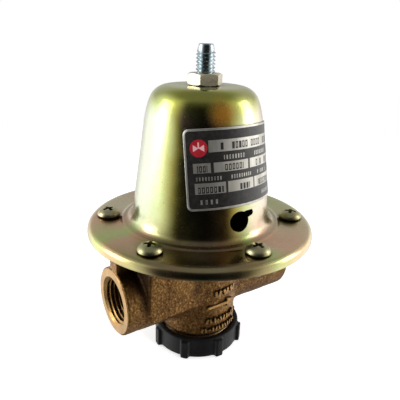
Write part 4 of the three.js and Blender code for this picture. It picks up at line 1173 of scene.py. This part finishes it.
# ------------------------------------------------------------------ carried CAD nodes
FINISH = {
    "thread_bushing": ZINC, "diaphragm_plate": PLATE, "backing_plate": STEEL, "valve_stem": BRASS, "stem_nut": STEEL,
    "disc_holder": BRASS, "seat_disc": SEAL, "disc_nut": STEEL, "seat_ring": STEEL, "spring_button": PLATE,
    "check_poppet": BRASS, "check_retainer": STEEL, "strainer_screen": STEEL, "cap_o_ring": SEAL,
}
for node_name, mat in FINISH.items():
    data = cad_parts[node_name].data
    data.materials.clear()
    data.materials.append(mat)
for node_name in ("cap_o_ring",):
    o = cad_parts[node_name]
    sub = o.modifiers.new("round", "SUBSURF")
    sub.levels = sub.render_levels = 0

# ------------------------------------------------------------------ floor, light and camera
floor_v, floor_f = lathe([(0, -2.0), (560, -2.0), (560, -0.05), (0, -0.05)], 96)
g = Graph("pale_floor")
FLOOR = g.done(g.mix(g.range(g.noise(14, 3.0, 0.5), 0.3, 0.7), (0.90, 0.90, 0.90), (0.93, 0.93, 0.93)), 0.75, 0.0, Emission_Color=(1, 1, 1, 1), Emission_Strength=0.60)
floor = build("floor", floor_v, floor_f, FLOOR, 30)
floor.visible_glossy = False

e_right = Vector((0.8239, -0.5667, 0.0))
e_fwd = Vector((0.5315, 0.7727, -0.34704)).normalized()
e_up = e_right.cross(e_fwd).normalized()
roll = math.radians(1.979)
cx = e_right * math.cos(roll) + e_up * math.sin(roll)
cy = -e_right * math.sin(roll) + e_up * math.cos(roll)
cam_data = bpy.data.cameras.new("camera")
cam_data.lens, cam_data.sensor_width = 39.94, 36.0
cam_data.clip_start, cam_data.clip_end = 0.005, 20.0
camera = bpy.data.objects.new("camera", cam_data)
scene.collection.objects.link(camera)
camera.matrix_world = Matrix((
    (cx.x, cy.x, -e_fwd.x, -0.10506), (cx.y, cy.y, -e_fwd.y, -0.15214), (cx.z, cy.z, -e_fwd.z, 0.13797), (0, 0, 0, 1)))
scene.camera = camera

# soft white tent with a dark gap on one side, so that the polished shell shows light and dark bands
world = bpy.data.worlds.new("tent")
scene.world = world
world.use_nodes = True
wt = world.node_tree
wt.nodes.clear()
W = Graph.__new__(Graph)
W.nt = wt
W.coord = wt.nodes.new("ShaderNodeTexCoord").outputs["Generated"]
dxw, dyw, dzw = W.xyz()
flat_len = W.math("SQRT", W.add(W.add(W.mul(dxw, dxw), W.mul(dyw, dyw)), 1e-5))
ux, uy = W.math("DIVIDE", dxw, flat_len), W.math("DIVIDE", dyw, flat_len)
TO_CAM = Vector((-0.5667, -0.8239))
RIGHT = Vector((0.8239, -0.5667))
front = W.add(W.mul(ux, TO_CAM.x), W.mul(uy, TO_CAM.y))
side = W.add(W.mul(ux, RIGHT.x), W.mul(uy, RIGHT.y))
turned = W.add(W.math("DIVIDE", W.math("ARCTAN2", side, front), TAU), 0.5)


def band(stops):
    """Brightness by direction round the valve, in degrees from the side the camera is on."""
    n = wt.nodes.new("ShaderNodeValToRGB")
    W.put(n.inputs[0], turned)
    ramp = n.color_ramp
    ramp.interpolation = "EASE"
    for k, (deg, level) in enumerate(stops):
        t = deg / 360 + 0.5
        e = ramp.elements[k] if k < 2 else ramp.elements.new(t)
        e.position = t
        e.color = (level, level, level, 1)
    return n.outputs[0]


low_band = band([(-180, 0.27), (-152, 0.46), (-112, 0.98), (-70, 0.98), (-37, 0.010), (0, 0.003), (42, 0.010), (66, 0.50), (88, 0.84), (125, 0.82), (155, 0.44), (180, 0.27)])
high_band = band([(-180, 0.27), (-140, 0.30), (-104, 0.66), (-66, 0.60), (-37, 0.018), (0, 0.004), (42, 0.018), (72, 0.42), (110, 0.56), (142, 0.30), (180, 0.27)])
lift_up = W.range(dzw, 0.05, 0.30)
high = W.range(dzw, 0.55, 0.90)
low_ = W.range(dzw, -0.45, -0.85)


def blend_levels(a, b, t):
    return W.add(W.mul(a, W.math("SUBTRACT", 1.0, t)), W.mul(b, t))


level = blend_levels(low_band, high_band, lift_up)
level = blend_levels(level, 0.15, high)
level = blend_levels(level, 0.16, low_)
level = W.mul(level, 1.9)
bg = wt.nodes.new("ShaderNodeBackground")
bg.inputs["Color"].default_value = (1.0, 0.995, 0.98, 1)
W.put(bg.inputs["Strength"], level)
seen = wt.nodes.new("ShaderNodeBackground")
seen.inputs["Color"].default_value = (1, 1, 1, 1)
seen.inputs["Strength"].default_value = 1.0
path = wt.nodes.new("ShaderNodeLightPath")
pick = wt.nodes.new("ShaderNodeMixShader")
wt.links.new(path.outputs["Is Camera Ray"], pick.inputs[0])
wt.links.new(bg.outputs[0], pick.inputs[1])
wt.links.new(seen.outputs[0], pick.inputs[2])
out = wt.nodes.new("ShaderNodeOutputWorld")
wt.links.new(pick.outputs[0], out.inputs[0])


def area(name, direction, distance, size, power, elevation):
    """Softbox that looks at the valve; direction is measured from the camera's own, positive to its right."""
    a = math.radians(direction)
    h = TO_CAM * math.cos(a) + RIGHT * math.sin(a)
    e = math.radians(elevation)
    pos = Vector((h.x * math.cos(e), h.y * math.cos(e), math.sin(e))) * distance + Vector((0, 0, 0.06))
    data = bpy.data.lights.new(name, "AREA")
    data.shape, data.size, data.size_y, data.energy = "RECTANGLE", size, size * 1.4, power
    o = bpy.data.objects.new(name, data)
    scene.collection.objects.link(o)
    o.location = pos
    o.rotation_mode = "QUATERNION"
    o.rotation_quaternion = (pos - Vector((0, 0, 0.06))).to_track_quat("Z", "Y")
    o.visible_camera = False
    return o


area("soft_left", -84, 0.9, 0.42, 2.6, 16)
area("soft_right", 96, 0.9, 0.36, 1.6, 20)
fill = area("fill_front", 48, 0.9, 0.35, 3.2, 30)
fill.visible_glossy = False

scene.view_settings.view_transform = "Standard"
scene.view_settings.look = "None"
scene.view_settings.exposure = 0.0
scene.view_settings.gamma = 1.0
